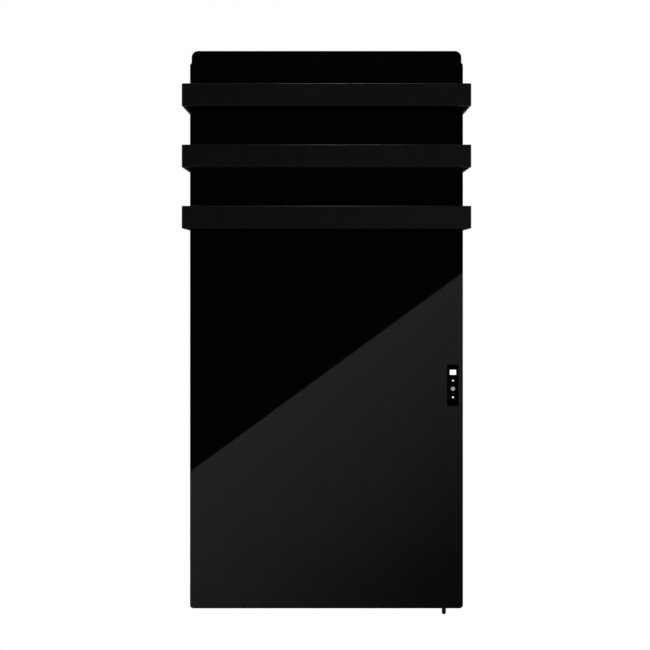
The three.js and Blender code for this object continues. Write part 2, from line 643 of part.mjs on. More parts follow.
function mainsSwitch() {
  const group = subGroup(0, switchY, switchZ);
  const bezelIn = caseSide + FIT;
  const bezelOut = bezelIn + SWITCH.bezel;
  const halfY = SWITCH.width / 2;
  const halfZ = SWITCH.height / 2;
  const rimY = halfY + SWITCH.rim;
  const rimZ = halfZ + SWITCH.rim;
  let body = box(bezelOut - SWITCH.body, bezelOut - 0.5, -halfY, halfY, -halfZ, halfZ)
    .add(box(bezelIn, bezelOut, -rimY, rimY, -rimZ, rimZ));
  const insideY = halfY - SWITCH.wall;
  const insideZ = halfZ - SWITCH.wall;
  body = body.subtract(box(bezelOut - SWITCH.cavity, bezelOut + 1, -insideY, insideY, -insideZ, insideZ));
  place("mains_switch_body", body, BLACK_PLASTIC, group);

  // a shallow V-shaped paddle, turned about its pivot so that its lower end stands out when off
  const halfWidth = insideY - FIT;
  const paddle = new THREE.Shape();
  paddle.moveTo(-ROCKER.root, 0);
  paddle.lineTo(0, -ROCKER.half * 0.45);
  paddle.lineTo(ROCKER.crown, -ROCKER.half);
  paddle.lineTo(ROCKER.waist, 0);
  paddle.lineTo(ROCKER.crown, ROCKER.half);
  paddle.lineTo(0, ROCKER.half * 0.45);
  paddle.closePath();
  place("mains_switch_rocker", slab(paddle, -halfWidth, halfWidth), BLACK_PLASTIC, group,
    [bezelOut - ROCKER.pivotIn, 0, 0], [0, -THREE.MathUtils.degToRad(ROCKER.tilt), 0]);
}

// ---------------------------------------------------------------- room sensor
function roomSensor() {
  const tip = glassFoot - PROBE.below;
  const steps = 6;
  const profile = [];
  for (let i = 0; i <= steps; i++) {
    const angle = (i / steps) * (Math.PI / 2);
    profile.push([PROBE.radius * Math.sin(angle), -PROBE.radius * Math.cos(angle)]);
  }
  const end = PROBE.length - PROBE.radius;
  profile.push([PROBE.radius, end - 0.6], [PROBE.radius - 0.6, end], [0, end]);
  place("sensor_probe", turned(profile, "z"), BLACK_PLASTIC, heater, [probeX, probeY, tip + PROBE.radius]);

  // the grommet is a waisted ring with a flange on each side of the cover
  const below = intakeFoot - FIT;
  const above = intakeTop + FIT;
  const bore = PROBE.radius + FIT;
  const grommet = turned(
    [[bore, below - GROMMET.flange], [GROMMET.outer, below - GROMMET.flange], [GROMMET.outer, below],
      [GROMMET.neck, below], [GROMMET.neck, above], [GROMMET.outer, above],
      [GROMMET.outer, above + GROMMET.flange],
      [bore, above + GROMMET.flange], [bore, below - GROMMET.flange]],
    "z",
  );
  place("sensor_grommet", grommet, RUBBER, heater, [probeX, probeY, 0]);
}

// ---------------------------------------------------------------- wall bracket and its fixings
function wallBracket() {
  const { spine, arm, armHeight, sheet } = BRACKET;
  let bracket = box(-spine / 2, spine / 2, -sheet, 0, -armZ, armZ);
  for (const side of [-1, 1]) {
    const middle = side * armZ;
    const edge = side * armTop;
    const under = edge - side * sheet;
    bracket = bracket.add(box(-arm / 2, arm / 2, -sheet, 0, middle - armHeight / 2, middle + armHeight / 2));
    bracket = bracket.add(
      box(-arm / 2, arm / 2, bracketFront, 0, Math.min(edge, under), Math.max(edge, under)),
    );
    const outside = (side * spine) / 2;
    const inside = outside - side * sheet;
    bracket = bracket.add(
      box(Math.min(outside, inside), Math.max(outside, inside), bracketFront, 0, -armTop, armTop),
    );
  }
  for (const side of [-1, 1]) {
    const x = side * HOOK.x;
    const reach = insideBack - HOOK.reach;
    bracket = bracket.add(
      box(x - HOOK.width / 2, x + HOOK.width / 2, reach, bracketFront + 1, armTop - sheet, armTop),
    );
    bracket = bracket.add(
      box(x - HOOK.width / 2, x + HOOK.width / 2, reach, reach + sheet, armTop - sheet, armTop + HOOK.lip),
    );
    bracket = bracket.subtract(
      bar(LOCK.shank + FIT, -armTop - 1, -armTop + sheet + 1, "z", 16).translate([side * LOCK.x, lockY, 0]),
    );
    for (const z of [-armZ, armZ]) {
      const { radius, slot } = WALL_HOLE;
      const outline = roundedOutline(2 * radius + slot, 2 * radius, radius - 0.01, side * WALL_HOLE.x, z);
      bracket = bracket.subtract(slab(outline, -sheet - 1, 1, { curve: 2 }));
    }
  }
  place("wall_bracket", bracket, STEEL);

  const lugFoot = -armTop - FIT - LOCK.lugSheet;
  const headTop = lugFoot - FIT;
  const screwTip = LOCK.rise + LOCK.lugSheet;
  for (const [hand, side] of [["left", -1], ["right", 1]]) {
    const screw = turned(
      [[0, -LOCK.headHeight], [LOCK.head - 0.6, -LOCK.headHeight], [LOCK.head, -LOCK.headHeight + 0.6],
        [LOCK.head, 0], [LOCK.shank, 0], [LOCK.shank, screwTip], [0, screwTip]],
      "z",
    ).subtract(hexBar(LOCK_SOCKET.size, -LOCK.headHeight - 1, -LOCK.headHeight + LOCK_SOCKET.depth, "z"));
    place(`lock_screw_${hand}`, screw, DARK_STEEL, heater, [side * LOCK.x, lockY, headTop]);

    const bumper = turned(
      [[0, caseBack + FIT], [BUMPER.radius, caseBack + FIT], [BUMPER.radius, -BUMPER.chamfer],
        [BUMPER.radius - BUMPER.chamfer, 0], [BUMPER.dimple, 0],
        [BUMPER.dimple - BUMPER.chamfer, -BUMPER.dimpleDepth], [0, -BUMPER.dimpleDepth]],
    );
    place(`wall_bumper_${hand}`, bumper, RUBBER, heater, [side * BUMPER.x, 0, caseFoot + BUMPER.fromFoot]);
  }
}

glassPanel();
gasket();
heatingLayers();
thermalCutout();
rearHousing();
outletCowl();
intakeCover();
towelRails();
controlModule();
electronics();
mainsSwitch();
roomSensor();
wallBracket();

export default heater;
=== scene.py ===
import json
from math import atan2, cos, pi, radians, sin, tan

import bmesh
import bpy
from mathutils import Matrix, Vector

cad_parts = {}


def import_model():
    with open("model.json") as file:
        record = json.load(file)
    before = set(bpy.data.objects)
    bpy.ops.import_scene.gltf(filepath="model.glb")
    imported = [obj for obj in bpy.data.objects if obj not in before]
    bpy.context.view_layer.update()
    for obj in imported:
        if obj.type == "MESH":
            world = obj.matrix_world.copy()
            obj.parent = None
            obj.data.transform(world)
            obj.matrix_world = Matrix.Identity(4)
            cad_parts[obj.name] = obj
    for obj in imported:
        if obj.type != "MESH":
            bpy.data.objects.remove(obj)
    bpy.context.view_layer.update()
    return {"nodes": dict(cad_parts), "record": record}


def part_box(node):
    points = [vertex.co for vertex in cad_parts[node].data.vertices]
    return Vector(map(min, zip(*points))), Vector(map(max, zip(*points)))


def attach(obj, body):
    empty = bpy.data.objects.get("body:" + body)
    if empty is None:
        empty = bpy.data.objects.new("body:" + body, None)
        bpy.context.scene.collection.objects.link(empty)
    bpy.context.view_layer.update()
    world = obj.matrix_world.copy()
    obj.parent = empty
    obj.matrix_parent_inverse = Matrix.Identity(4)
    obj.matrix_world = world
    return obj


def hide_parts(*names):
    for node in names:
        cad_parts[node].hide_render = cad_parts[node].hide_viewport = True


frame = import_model()
MM = 0.001
BODY = "heater"

# ---------------------------------------------------------------- places read from the frame
glass_lo, glass_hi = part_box("glass_panel")
case_lo, case_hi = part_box("rear_housing")
cowl_lo, cowl_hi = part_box("top_outlet_cowl")
probe_lo, probe_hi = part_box("sensor_probe")
bezel_lo, bezel_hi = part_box("control_housing")
GLASS_FRONT = glass_lo.y
GLASS_BACK = glass_hi.y
CASE_FRONT = cowl_lo.y
CASE_BACK = cowl_hi.y
ARM_TOP = -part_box("wall_bracket")[0].z  # the bracket's arms end as far above the middle as below it
MODULE_X = (bezel_lo.x + bezel_hi.x) / 2
MODULE_Z = (bezel_lo.z + bezel_hi.z) / 2


def middle(node):
    """The middle of a CAD node's box."""
    lo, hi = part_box(node)
    return Vector(((lo.x + hi.x) / 2, (lo.y + hi.y) / 2, (lo.z + hi.z) / 2))


# ---------------------------------------------------------------- mesh helpers
LEAST_RADIUS = 0.02 * MM
NO_RADIUS = 1e-7
FLAT_HOLD = 1.4  # where a rim's first ring lies, in radii from the side


def link(name, mesh):
    """A new object in the scene for a mesh."""
    piece = bpy.data.objects.new(name, mesh)
    bpy.context.scene.collection.objects.link(piece)
    return piece


def from_bmesh(name, bm):
    """A new object from a finished bmesh, which is freed."""
    mesh = bpy.data.meshes.new(name)
    bm.to_mesh(mesh)
    bm.free()
    return link(name, mesh)


def smooth(piece, angle=32):
    """Smooth shading that keeps edges sharper than the angle."""
    mesh = piece.data
    mesh.polygons.foreach_set("use_smooth", [True] * len(mesh.polygons))
    mesh.set_sharp_from_angle(angle=radians(angle))


def spot(u, v, a, axis):
    """A point from its place (u, v) in an outline and its distance a along an axis."""
    if axis == "x":
        return Vector((a, u, v))
    if axis == "y":
        return Vector((u, a, v))
    return Vector((u, v, a))


def quarter(steps):
    """The angles of a quarter turn, in even steps."""
    return [i / steps * pi / 2 for i in range(steps + 1)]


def closed_mesh(name, levels):
    """A closed mesh from rings of points, with a face across the first and the last ring."""
    bm = bmesh.new()
    rings = [[bm.verts.new(p) for p in level] for level in levels]
    for low, high in zip(rings, rings[1:]):
        for i in range(len(low)):
            k = (i + 1) % len(low)
            bm.faces.new((low[i], low[k], high[k], high[i]))
    bm.faces.new(rings[0])
    bm.faces.new(rings[-1])
    bmesh.ops.recalc_face_normals(bm, faces=bm.faces)
    return from_bmesh(name, bm)


def round_rect(width, height, radii, cu=0.0, cv=0.0, steps=8):
    """An outline as a function of how far it is drawn in; radii turn left from the low right corner."""
    if not isinstance(radii, (list, tuple)):
        radii = [radii] * 4

    def outline(inset=0.0):
        points = []
        corners = ((1, -1, -pi / 2), (1, 1, 0), (-1, 1, pi / 2), (-1, -1, pi))
        for (su, sv, start), radius in zip(corners, radii):
            radius = max(radius - inset, LEAST_RADIUS)
            u = cu + su * (width / 2 - inset - radius)
            v = cv + sv * (height / 2 - inset - radius)
            for i in range(steps + 1):
                angle = start + i / steps * pi / 2
                points.append((u + radius * cos(angle), v + radius * sin(angle)))
        return points

    return outline


def circle(radius, cu=0.0, cv=0.0, sides=48):
    """A circle's outline as a function of how far it is drawn in."""

    def outline(inset=0.0):
        r = radius - inset
        return [(cu + r * cos(2 * pi * i / sides), cv + r * sin(2 * pi * i / sides)) for i in range(sides)]

    return outline


def bent(path, thickness, bend, steps=5):
    """The outline of a sheet folded at right angles along a path down its middle."""
    points = [Vector(p) for p in path]
    turn_radius = bend + thickness / 2
    stations = []
    for i in range(1, len(points) - 1):
        before = (points[i] - points[i - 1]).normalized()
        after = (points[i + 1] - points[i]).normalized()
        hub = points[i] - before * turn_radius + after * turn_radius
        for a in quarter(steps):
            place = hub + (before * sin(a) - after * cos(a)) * turn_radius
            stations.append((place, before * cos(a) + after * sin(a)))
    start = (points[1] - points[0]).normalized()
    finish = (points[-1] - points[-2]).normalized()

    def outline(inset=0.0):
        whole = [(points[0] + start * inset, start), *stations, (points[-1] - finish * inset, finish)]
        half = thickness / 2 - inset
        left = [(p.x - d.y * half, p.y + d.x * half) for p, d in whole]
        right = [(p.x + d.y * half, p.y - d.x * half) for p, d in whole]
        return left + right[::-1]

    return outline


def polygon(points, radii, steps=4):
    """An anticlockwise polygon with a radius at each corner, as a function of how far it is drawn in."""
    corners = [Vector(p) for p in points]
    count = len(corners)

    def outline(inset=0.0):
        places = []
        for i, corner in enumerate(corners):
            before = (corner - corners[i - 1]).normalized()
            after = (corners[(i + 1) % count] - corner).normalized()
            turn = atan2(before.cross(after), before.dot(after))
            side = 1 if turn > 0 else -1
            inward = Vector((-before.y - after.y, before.x + after.x)).normalized()
            drawn_in = corner + inward * (inset / cos(turn / 2))
            radius = max(radii[i] - side * inset, LEAST_RADIUS)
            start = drawn_in - before * (radius * tan(abs(turn) / 2))
            hub = start + Vector((-before.y, before.x)) * (side * radius)
            arm = start - hub
            for k in range(steps + 1):
                a = turn * k / steps
                u = hub.x + arm.x * cos(a) - arm.y * sin(a)
                v = hub.y + arm.x * sin(a) + arm.y * cos(a)
                places.append((u, v))
        return places

    return outline


def slab(name, outline, low, high, axis="y", low_round=0.0, high_round=0.0, steps=4):
    """An outline made solid along an axis, its two rims rounded."""

    def rim(end, inward, radius):
        """Rings from the flat of one end round to its side; the first holds the flat's shading true."""
        if not radius:
            return [[spot(u, v, end, axis) for u, v in outline(0.0)]]
        rings = [[spot(u, v, end, axis) for u, v in outline(FLAT_HOLD * radius)]]
        for turn in quarter(steps):
            level = end + inward * radius * (1 - cos(turn))
            rings.append([spot(u, v, level, axis) for u, v in outline(radius * (1 - sin(turn)))])
        return rings

    return closed_mesh(name, rim(low, 1, low_round) + rim(high, -1, high_round)[::-1])


def turned(name, profile, axis="y", centre=(0, 0, 0), sides=48):
    """A profile of (radius, height) pairs turned about an axis. Ends with no radius close to a point."""
    bm = bmesh.new()
    rows = []
    for radius, height in profile:
        if radius < NO_RADIUS:
            rows.append([bm.verts.new(spot(0, 0, height, axis))])
        else:
            points = circle(radius, sides=sides)()
            rows.append([bm.verts.new(spot(u, v, height, axis)) for u, v in points])
    for low, high in zip(rows, rows[1:]):
        for i in range(sides):
            k = (i + 1) % sides
            if len(low) == 1 and len(high) > 1:
                bm.faces.new((low[0], high[k], high[i]))
            elif len(high) == 1 and len(low) > 1:
                bm.faces.new((low[i], low[k], high[0]))
            elif len(low) > 1:
                bm.faces.new((low[i], low[k], high[k], high[i]))
    if profile[0] == profile[-1]:
        bmesh.ops.remove_doubles(bm, verts=bm.verts, dist=NO_RADIUS)
    bmesh.ops.recalc_face_normals(bm, faces=bm.faces)
    bmesh.ops.translate(bm, verts=bm.verts, vec=Vector(centre))
    return from_bmesh(name, bm)


def bar(radius, low, high, axis="y", centre=(0, 0, 0), sides=40):
    """A plain round bar, used as a cutter."""
    return turned("cutter", [(0, low), (radius, low), (radius, high), (0, high)], axis, centre, sides)


def joined(name, parts):
    """Several meshes as one piece."""
    bm = bmesh.new()
    for part in parts:
        bm.from_mesh(part.data)
    for part in parts:
        bpy.data.objects.remove(part)
    return from_bmesh(name, bm)


def boolean(piece, others, operation):
    """Cuts or joins other pieces into one, and removes them."""
    for other in others:
        modifier = piece.modifiers.new("cut", "BOOLEAN")
        modifier.operation = operation
        modifier.solver = "EXACT"
        modifier.object = other
    graph = bpy.context.evaluated_depsgraph_get()
    made = bpy.data.meshes.new_from_object(piece.evaluated_get(graph))
    piece.modifiers.clear()
    piece.data = made
    for other in others:
        bpy.data.objects.remove(other)
    return piece


def cut(piece, others):
    """Cuts other pieces out of one."""
    return boolean(piece, [joined("cutter", others)] if len(others) > 1 else others, "DIFFERENCE")


def softened(piece, width, steps=2, angle=30):
    """Bevels every edge sharper than the angle."""
    bm = bmesh.new()
    bm.from_mesh(piece.data)
    bmesh.ops.remove_doubles(bm, verts=bm.verts, dist=1e-6)
    bmesh.ops.dissolve_limit(bm, angle_limit=radians(0.5), verts=bm.verts, edges=bm.edges)
    edges = [e for e in bm.edges if e.is_manifold and e.calc_face_angle() > radians(angle)]
    bmesh.ops.bevel(
        bm, geom=edges, offset=width, segments=steps, profile=0.5, affect="EDGES", clamp_overlap=True,
    )
    bm.to_mesh(piece.data)
    bm.free()
    return piece


def refined(node, material, width):
    """A finer piece in the place of a plain CAD node: its faces whole and its edges softened."""
    source = frame["nodes"][node]
    mesh = source.data.copy()
    mesh.transform(source.matrix_world)
    piece = softened(link(f"fine_{node}", mesh), width)
    return finished(piece, material, [node])


def finished(piece, material, replaces=(), body=BODY, angle=32):
    """Gives a new piece its material, body and the CAD nodes it stands for."""
    piece.data.materials.clear()
    piece.data.materials.append(material)
    smooth(piece, angle)
    weighted = piece.modifiers.new("flat_faces_stay_flat", "WEIGHTED_NORMAL")
    weighted.keep_sharp = True
    weighted.weight = 80
    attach(piece, body)
    if replaces:
        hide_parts(*replaces)
    return piece


# ---------------------------------------------------------------- material helpers
class Nodes:
    """A short way to write a material's nodes."""

    def __init__(self, name):
        self.material = bpy.data.materials.new(name)
        self.material.use_nodes = True
        self.tree = self.material.node_tree
        self.shader = self.tree.nodes["Principled BSDF"]
        self.place = self.add("ShaderNodeTexCoord").outputs["Object"]

    def add(self, kind, **settings):
        node = self.tree.nodes.new(kind)
        for key, value in settings.items():
            setattr(node, key, value)
        return node

    def join(self, source, target):
        self.tree.links.new(source, target)

    def noise(self, scale, detail=3.0, stretch=None, roughness=0.5):
        node = self.add("ShaderNodeTexNoise")
        node.inputs["Scale"].default_value = scale
        node.inputs["Detail"].default_value = detail
        node.inputs["Roughness"].default_value = roughness
        place = self.place
        if stretch:
            mapping = self.add("ShaderNodeMapping")
            mapping.inputs["Scale"].default_value = stretch
            self.join(place, mapping.inputs["Vector"])
            place = mapping.outputs["Vector"]
        self.join(place, node.inputs["Vector"])
        return node.outputs["Fac"]

    def ramp(self, value, low, high, from_low=0.3, from_high=0.7):
        node = self.add("ShaderNodeMapRange")
        node.inputs["From Min"].default_value = from_low
        node.inputs["From Max"].default_value = from_high
        node.inputs["To Min"].default_value = low
        node.inputs["To Max"].default_value = high
        self.join(value, node.inputs["Value"])
        return node.outputs["Result"]

    def blend(self, amount, first, second):
        node = self.add("ShaderNodeMix", data_type="RGBA")
        self.join(amount, node.inputs["Factor"])
        node.inputs["A"].default_value = (*first, 1)
        node.inputs["B"].default_value = (*second, 1)
        return node.outputs["Result"]

    def bump(self, height, strength, distance, after=None):
        node = self.add("ShaderNodeBump")
        node.inputs["Strength"].default_value = strength
        node.inputs["Distance"].default_value = distance
        self.join(height, node.inputs["Height"])
        if after is not None:
            self.join(after, node.inputs["Normal"])
        return node.outputs["Normal"]


MOTTLE_SCALE = 14
GLOSS_SCALE = 40
BUMP_SHARE = 0.25  # a grain's height as a share of its width


def coated(name, color, rough, swing, mottle, grain_size, grain, metallic=0.0, stretch=None, specular=0.5,
           glow=0.0):
    """A surface whose shade (by mottle) and gloss (by swing) change slowly, with a grain of its own size."""
    n = Nodes(name)
    slow = n.noise(MOTTLE_SCALE, 4, stretch)
    fine = n.noise(1 / grain_size, 2, stretch)
    low = [c * (1 - mottle) for c in color]
    high = [c * (1 + mottle) for c in color]
    n.join(n.blend(n.ramp(slow, 0, 1), low, high), n.shader.inputs["Base Color"])
    gloss = n.noise(GLOSS_SCALE, 4, stretch)
    n.join(n.ramp(gloss, rough - swing, rough + swing), n.shader.inputs["Roughness"])
    n.join(n.bump(fine, grain, grain_size * BUMP_SHARE), n.shader.inputs["Normal"])
    n.shader.inputs["Metallic"].default_value = metallic
    n.shader.inputs["Specular IOR Level"].default_value = specular
    n.shader.inputs["Emission Color"].default_value = (1, 1, 1, 1)
    n.shader.inputs["Emission Strength"].default_value = glow
    return n.material


def glass_material():
    """Float glass painted black on its back, seen through its polished face."""
    n = Nodes("black_back_painted_glass")
    paint = n.blend(n.ramp(n.noise(9, 3), 0, 1), (0.0030, 0.0001, 0.0007), (0.0040, 0.0002, 0.0011))
    n.join(paint, n.shader.inputs["Base Color"])
    n.join(n.ramp(n.noise(6, 5), 0.012, 0.03), n.shader.inputs["Roughness"])
    n.shader.inputs["IOR"].default_value = 1.5
    return n.material


GLASS = glass_material()
RAIL_COAT = coated("rail_powder_coat", (0.0108, 0.0108, 0.0109), 0.36, 0.05, 0.08, 0.0009, 0.25)
CASE_COAT = coated(
    "housing_powder_coat", (0.0068, 0.0068, 0.0069), 0.46, 0.03, 0.1, 0.0011, 0.3, specular=0.45,
)
COWL_COAT = coated(
    "cowl_satin_black", (0.0009, 0.0009, 0.0010), 0.44, 0.04, 0.08, 0.0008, 0.12, specular=0.08,
)
PLASTIC = coated("moulded_black_plastic", (0.0035, 0.0035, 0.0035), 0.42, 0.05, 0.1, 0.0004, 0.2)
BEZEL_PLASTIC = coated(
    "bezel_black_plastic", (0.0006, 0.0006, 0.0006), 0.4, 0.03, 0.1, 0.0003, 0.06, specular=0.04,
)
# painted light: the grey key and its band glow faintly, a glow that brightens them in place of more lamp
# light
GREY_KEY_PAINTED_GLOW = coated("grey_key_painted_glow", (0.38, 0.38, 0.38), 0.45, 0.04, 0.04, 0.0003, 0.1, glow=0.24)
KEY_BAND_PAINTED_GLOW = coated("grey_key_band_painted_glow", (0.24, 0.24, 0.24), 0.5, 0.04, 0.04, 0.0003, 0.1, glow=0.17)
MARK_WHITE = coated("lit_white_mark", (0.92, 0.92, 0.92), 0.5, 0.03, 0.02, 0.0003, 0.05, glow=0.85)
RUBBER = coated("matt_rubber", (0.012, 0.012, 0.012), 0.82, 0.06, 0.15, 0.0007, 0.4, specular=0.3)
ZINC = coated("zinc_coated_steel", (0.52, 0.53, 0.54), 0.4, 0.04, 0.06, 0.0025, 0.05, metallic=1.0)
ALUMINIUM = coated("rolled_aluminium", (0.78, 0.79, 0.8), 0.34, 0.06, 0.05, 0.0006, 0.2, 1.0, (1, 1, 0.03))
MINERAL = coated("mineral_wool", (0.62, 0.58, 0.46), 0.95, 0.03, 0.2, 0.0016, 0.9)
FILM = coated("carbon_film", (0.03, 0.028, 0.026), 0.6, 0.08, 0.2, 0.002, 0.2)
WHITE_PLASTIC = coated("off_white_plastic", (0.78, 0.77, 0.72), 0.46, 0.05, 0.04, 0.0004, 0.15)
BLUE_PLASTIC = coated("blue_relay_case", (0.06, 0.14, 0.36), 0.4, 0.05, 0.06, 0.0004, 0.1)
CIRCUIT = coated("green_solder_mask", (0.02, 0.12, 0.05), 0.35, 0.08, 0.25, 0.0012, 0.3)
DARK_STEEL = coated("blackened_steel", (0.06, 0.06, 0.063), 0.36, 0.08, 0.15, 0.0004, 0.15, metallic=0.9)


def display_material():
    """A white backlit window, with the faint cells of its display."""
    n = Nodes("backlit_display")
    cells = n.add("ShaderNodeTexVoronoi", feature="DISTANCE_TO_EDGE")
    cells.inputs["Scale"].default_value = 700
    cells.inputs["Randomness"].default_value = 0.0
    n.join(n.place, cells.inputs["Vector"])
    light = n.blend(n.ramp(cells.outputs["Distance"], 0, 1, 0.0, 0.08), (0.93, 0.93, 0.94), (1.0, 1.0, 1.0))
    n.join(light, n.shader.inputs["Emission Color"])
    n.shader.inputs["Emission Strength"].default_value = 1.0
    n.shader.inputs["Base Color"].default_value = (0.2, 0.2, 0.2, 1)
    n.shader.inputs["Roughness"].default_value = 0.2
    return n.material


DISPLAY = display_material()


# ---------------------------------------------------------------- camera
GLASS_TO_LENS = 1.655  # metres, from the front of the glass
EYE_ABOVE_FOOT = 0.6234  # metres, above the glass's bottom edge


def make_camera():
    """The lens faces the glass squarely; its shift frames the object."""
    data = bpy.data.cameras.new("camera")
    data.lens = 50.065
    data.sensor_width = 36
    data.shift_x = -0.0023
    data.shift_y = -0.0877
    data.clip_start = 0.01
    camera = bpy.data.objects.new("camera", data)
    bpy.context.scene.collection.objects.link(camera)
    camera.location = (0, GLASS_FRONT - GLASS_TO_LENS, glass_lo.z + EYE_ABOVE_FOOT)
    camera.rotation_euler = (pi / 2, 0, 0)
    bpy.context.scene.camera = camera
    return camera


camera = make_camera()


# ---------------------------------------------------------------- glass panel
GLASS_CORNER = 6.5 * MM
GLASS_ARRIS = 0.8 * MM
STEM = {"width": 15 * MM, "height": 67 * MM, "clear": 0.5 * MM}


def glass_panel():
    """The sheet of glass, with its opening for the control module's stem."""
    width = glass_hi.x - glass_lo.x
    height = glass_hi.z - glass_lo.z
    panel = slab(
        "front_glass", round_rect(width, height, GLASS_CORNER, steps=14), GLASS_FRONT, GLASS_BACK, "y",
        GLASS_ARRIS, GLASS_ARRIS, 4,
    )
    opening = round_rect(
        STEM["width"] + 2 * STEM["clear"], STEM["height"] + 2 * STEM["clear"], 2 * MM, MODULE_X, MODULE_Z,
    )
    cut(panel, [slab("cutter", opening, GLASS_FRONT - MM, GLASS_BACK + MM)])
    finished(panel, GLASS, ["glass_panel"], angle=20)


# ---------------------------------------------------------------- towel rails
RAIL_STRAP = 5 * MM
RAIL_EDGE = 1.3 * MM
RAIL_CORNER = 3 * MM
RAIL_INNER_CORNER = 1 * MM
SCREW_HEAD = 4.2 * MM
SCREW_SHANK = 2.3 * MM
SCREW_CLEAR = 0.3 * MM
SCREW_HOLE = SCREW_SHANK + SCREW_CLEAR
SCREW_SEAT = 2.1 * MM  # how deep a rail screw's head is sunk
SCREW_SINK = 0.6 * MM  # how much wider the sinking's mouth is, and how far it slopes


def rail_paths(lo, hi, inset):
    """The outer and the inner path of the strap in plan, drawn in towards its middle."""
    side = hi.x - inset
    front = lo.y + inset
    end = hi.y - inset
    outer_round = RAIL_CORNER - inset
    inner_side = hi.x - RAIL_STRAP + inset
    inner_front = lo.y + RAIL_STRAP - inset
    inner_round = RAIL_INNER_CORNER + inset
    steps = 6
    outer, inner = [(-side, end)], [(-inner_side, end)]
    for sign, start in ((-1, pi), (1, 1.5 * pi)):
        for i in range(steps + 1):
            a = start + i / steps * pi / 2
            outer.append((sign * (side - outer_round) + outer_round * cos(a),
                          front + outer_round + outer_round * sin(a)))
            inner.append((sign * (inner_side - inner_round) + inner_round * cos(a),
                          inner_front + inner_round + inner_round * sin(a)))
    outer.append((side, end))
    inner.append((inner_side, end))
    return outer, inner


def towel_rail(label):
    """A flat strap bent into a U, its edges rounded, sunk at its ends for its four screws."""
    node = f"towel_rail_{label}"
    lo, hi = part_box(node)
    bm = bmesh.new()
    levels = []
    steps = 5
    for sign in (-1, 1):
        for i in range(steps + 1):
            turn = i / steps * pi / 2 if sign < 0 else pi / 2 - i / steps * pi / 2
            inset = RAIL_EDGE * (1 - sin(turn))
            lift = RAIL_EDGE * (1 - cos(turn))
            z = lo.z + lift if sign < 0 else hi.z - lift
            outer, inner = rail_paths(lo, hi, inset)
            levels.append([[bm.verts.new((x, y, z)) for x, y in path] for path in (outer, inner)])
    count = len(levels[0][0])
    for (low_out, low_in), (high_out, high_in) in zip(levels, levels[1:]):
        for i in range(count - 1):
            bm.faces.new((low_out[i], low_out[i + 1], high_out[i + 1], high_out[i]))
            bm.faces.new((low_in[i + 1], low_in[i], high_in[i], high_in[i + 1]))
        for i in (0, count - 1):
            bm.faces.new((low_out[i], high_out[i], high_in[i], low_in[i]))
    for outer, inner in (levels[0], levels[-1]):
        for i in range(count - 1):
            bm.faces.new((outer[i], outer[i + 1], inner[i + 1], inner[i]))
    bmesh.ops.recalc_face_normals(bm, faces=bm.faces)
    rail = from_bmesh(f"strap_rail_{label}", bm)
    cutters = []
    for hand, side in (("left", -1), ("right", 1)):
        for height in ("lower", "upper"):
            screw_node = f"rail_screw_{label}_{hand}_{height}"
            place = middle(screw_node)
            out = side * hi.x
            seat = out - side * SCREW_SEAT
            through = seat - side * 8 * MM
            slope_end = out + side * 0.25 * MM
            sinking = SCREW_HEAD + SCREW_CLEAR
            mouth = sinking + SCREW_SINK
            profile = [(0, through), (SCREW_HOLE, through), (SCREW_HOLE, seat), (sinking, seat),
                       (sinking, slope_end - side * SCREW_SINK), (mouth, slope_end),
                       (mouth, out + side * MM), (0, out + side * MM)]
            cutters.append(turned("cutter", profile, "x", (0, place.y, place.z), 40))
            screw(f"button_screw_{label}_{hand}_{height}", screw_node, side)
    cut(rail, cutters)
    finished(rail, RAIL_COAT, [node])


def screw(name, node, side, axis="x", radius=SCREW_HEAD, height=1.8 * MM):
    """A button-head screw along an axis, with a hexagon socket; its head faces the side given."""
    lo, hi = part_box(node)
    centre = middle(node)
    along = "xyz".index(axis)
    centre[along] = 0
    out, tip = (hi[along], lo[along]) if side > 0 else (lo[along], hi[along])
    seat = out - side * height
    dome = [(radius * cos(a), seat + side * (0.4 * height * (1 - sin(a)) + height * sin(a)))
            for a in quarter(7)[:6]]
    point = 0.5 * MM
    profile = [(0, tip), (SCREW_SHANK - point, tip), (SCREW_SHANK, tip + side * point), (SCREW_SHANK, seat),
               (radius, seat), *dome, (2.1 * MM, out), (0, out)]
    made = turned(name, profile, axis, centre, 40)
    floor_depth = out - side * 1.1 * MM
    socket = bar(1.73 * MM, floor_depth, out + side * MM, axis, centre, 6)
    cut(made, [socket])
    finished(made, DARK_STEEL, [node])


# ---------------------------------------------------------------- outlet cowl
COWL_CORNER = 12 * MM
COWL_WALL = 2 * MM
COWL_EDGE = 1.6 * MM
SLOT = {"length": 24 * MM, "width": 8 * MM, "pitch": 31 * MM, "row_pitch": 17 * MM}


def slot_places(length, item, pitch):
    """The middles of as many items as a length holds, spread evenly about zero."""
    count = max(1, int((length - item) / pitch + 1e-9) + 1)
    return [(i - (count - 1) / 2) * pitch for i in range(count)]


def slot_cutters(places, y_centre, z_low, z_high, size):
    """Cutters for two rows of round-ended slots, a pair at each place along X."""
    cutters = []
    for x in places:
        for row in (-0.5, 0.5):
            y = y_centre + row * size["row_pitch"]
            outline = round_rect(size["length"], size["width"], size["width"] / 2, x, y)
            cutters.append(slab("cutter", outline, z_low, z_high, "z"))
    return cutters


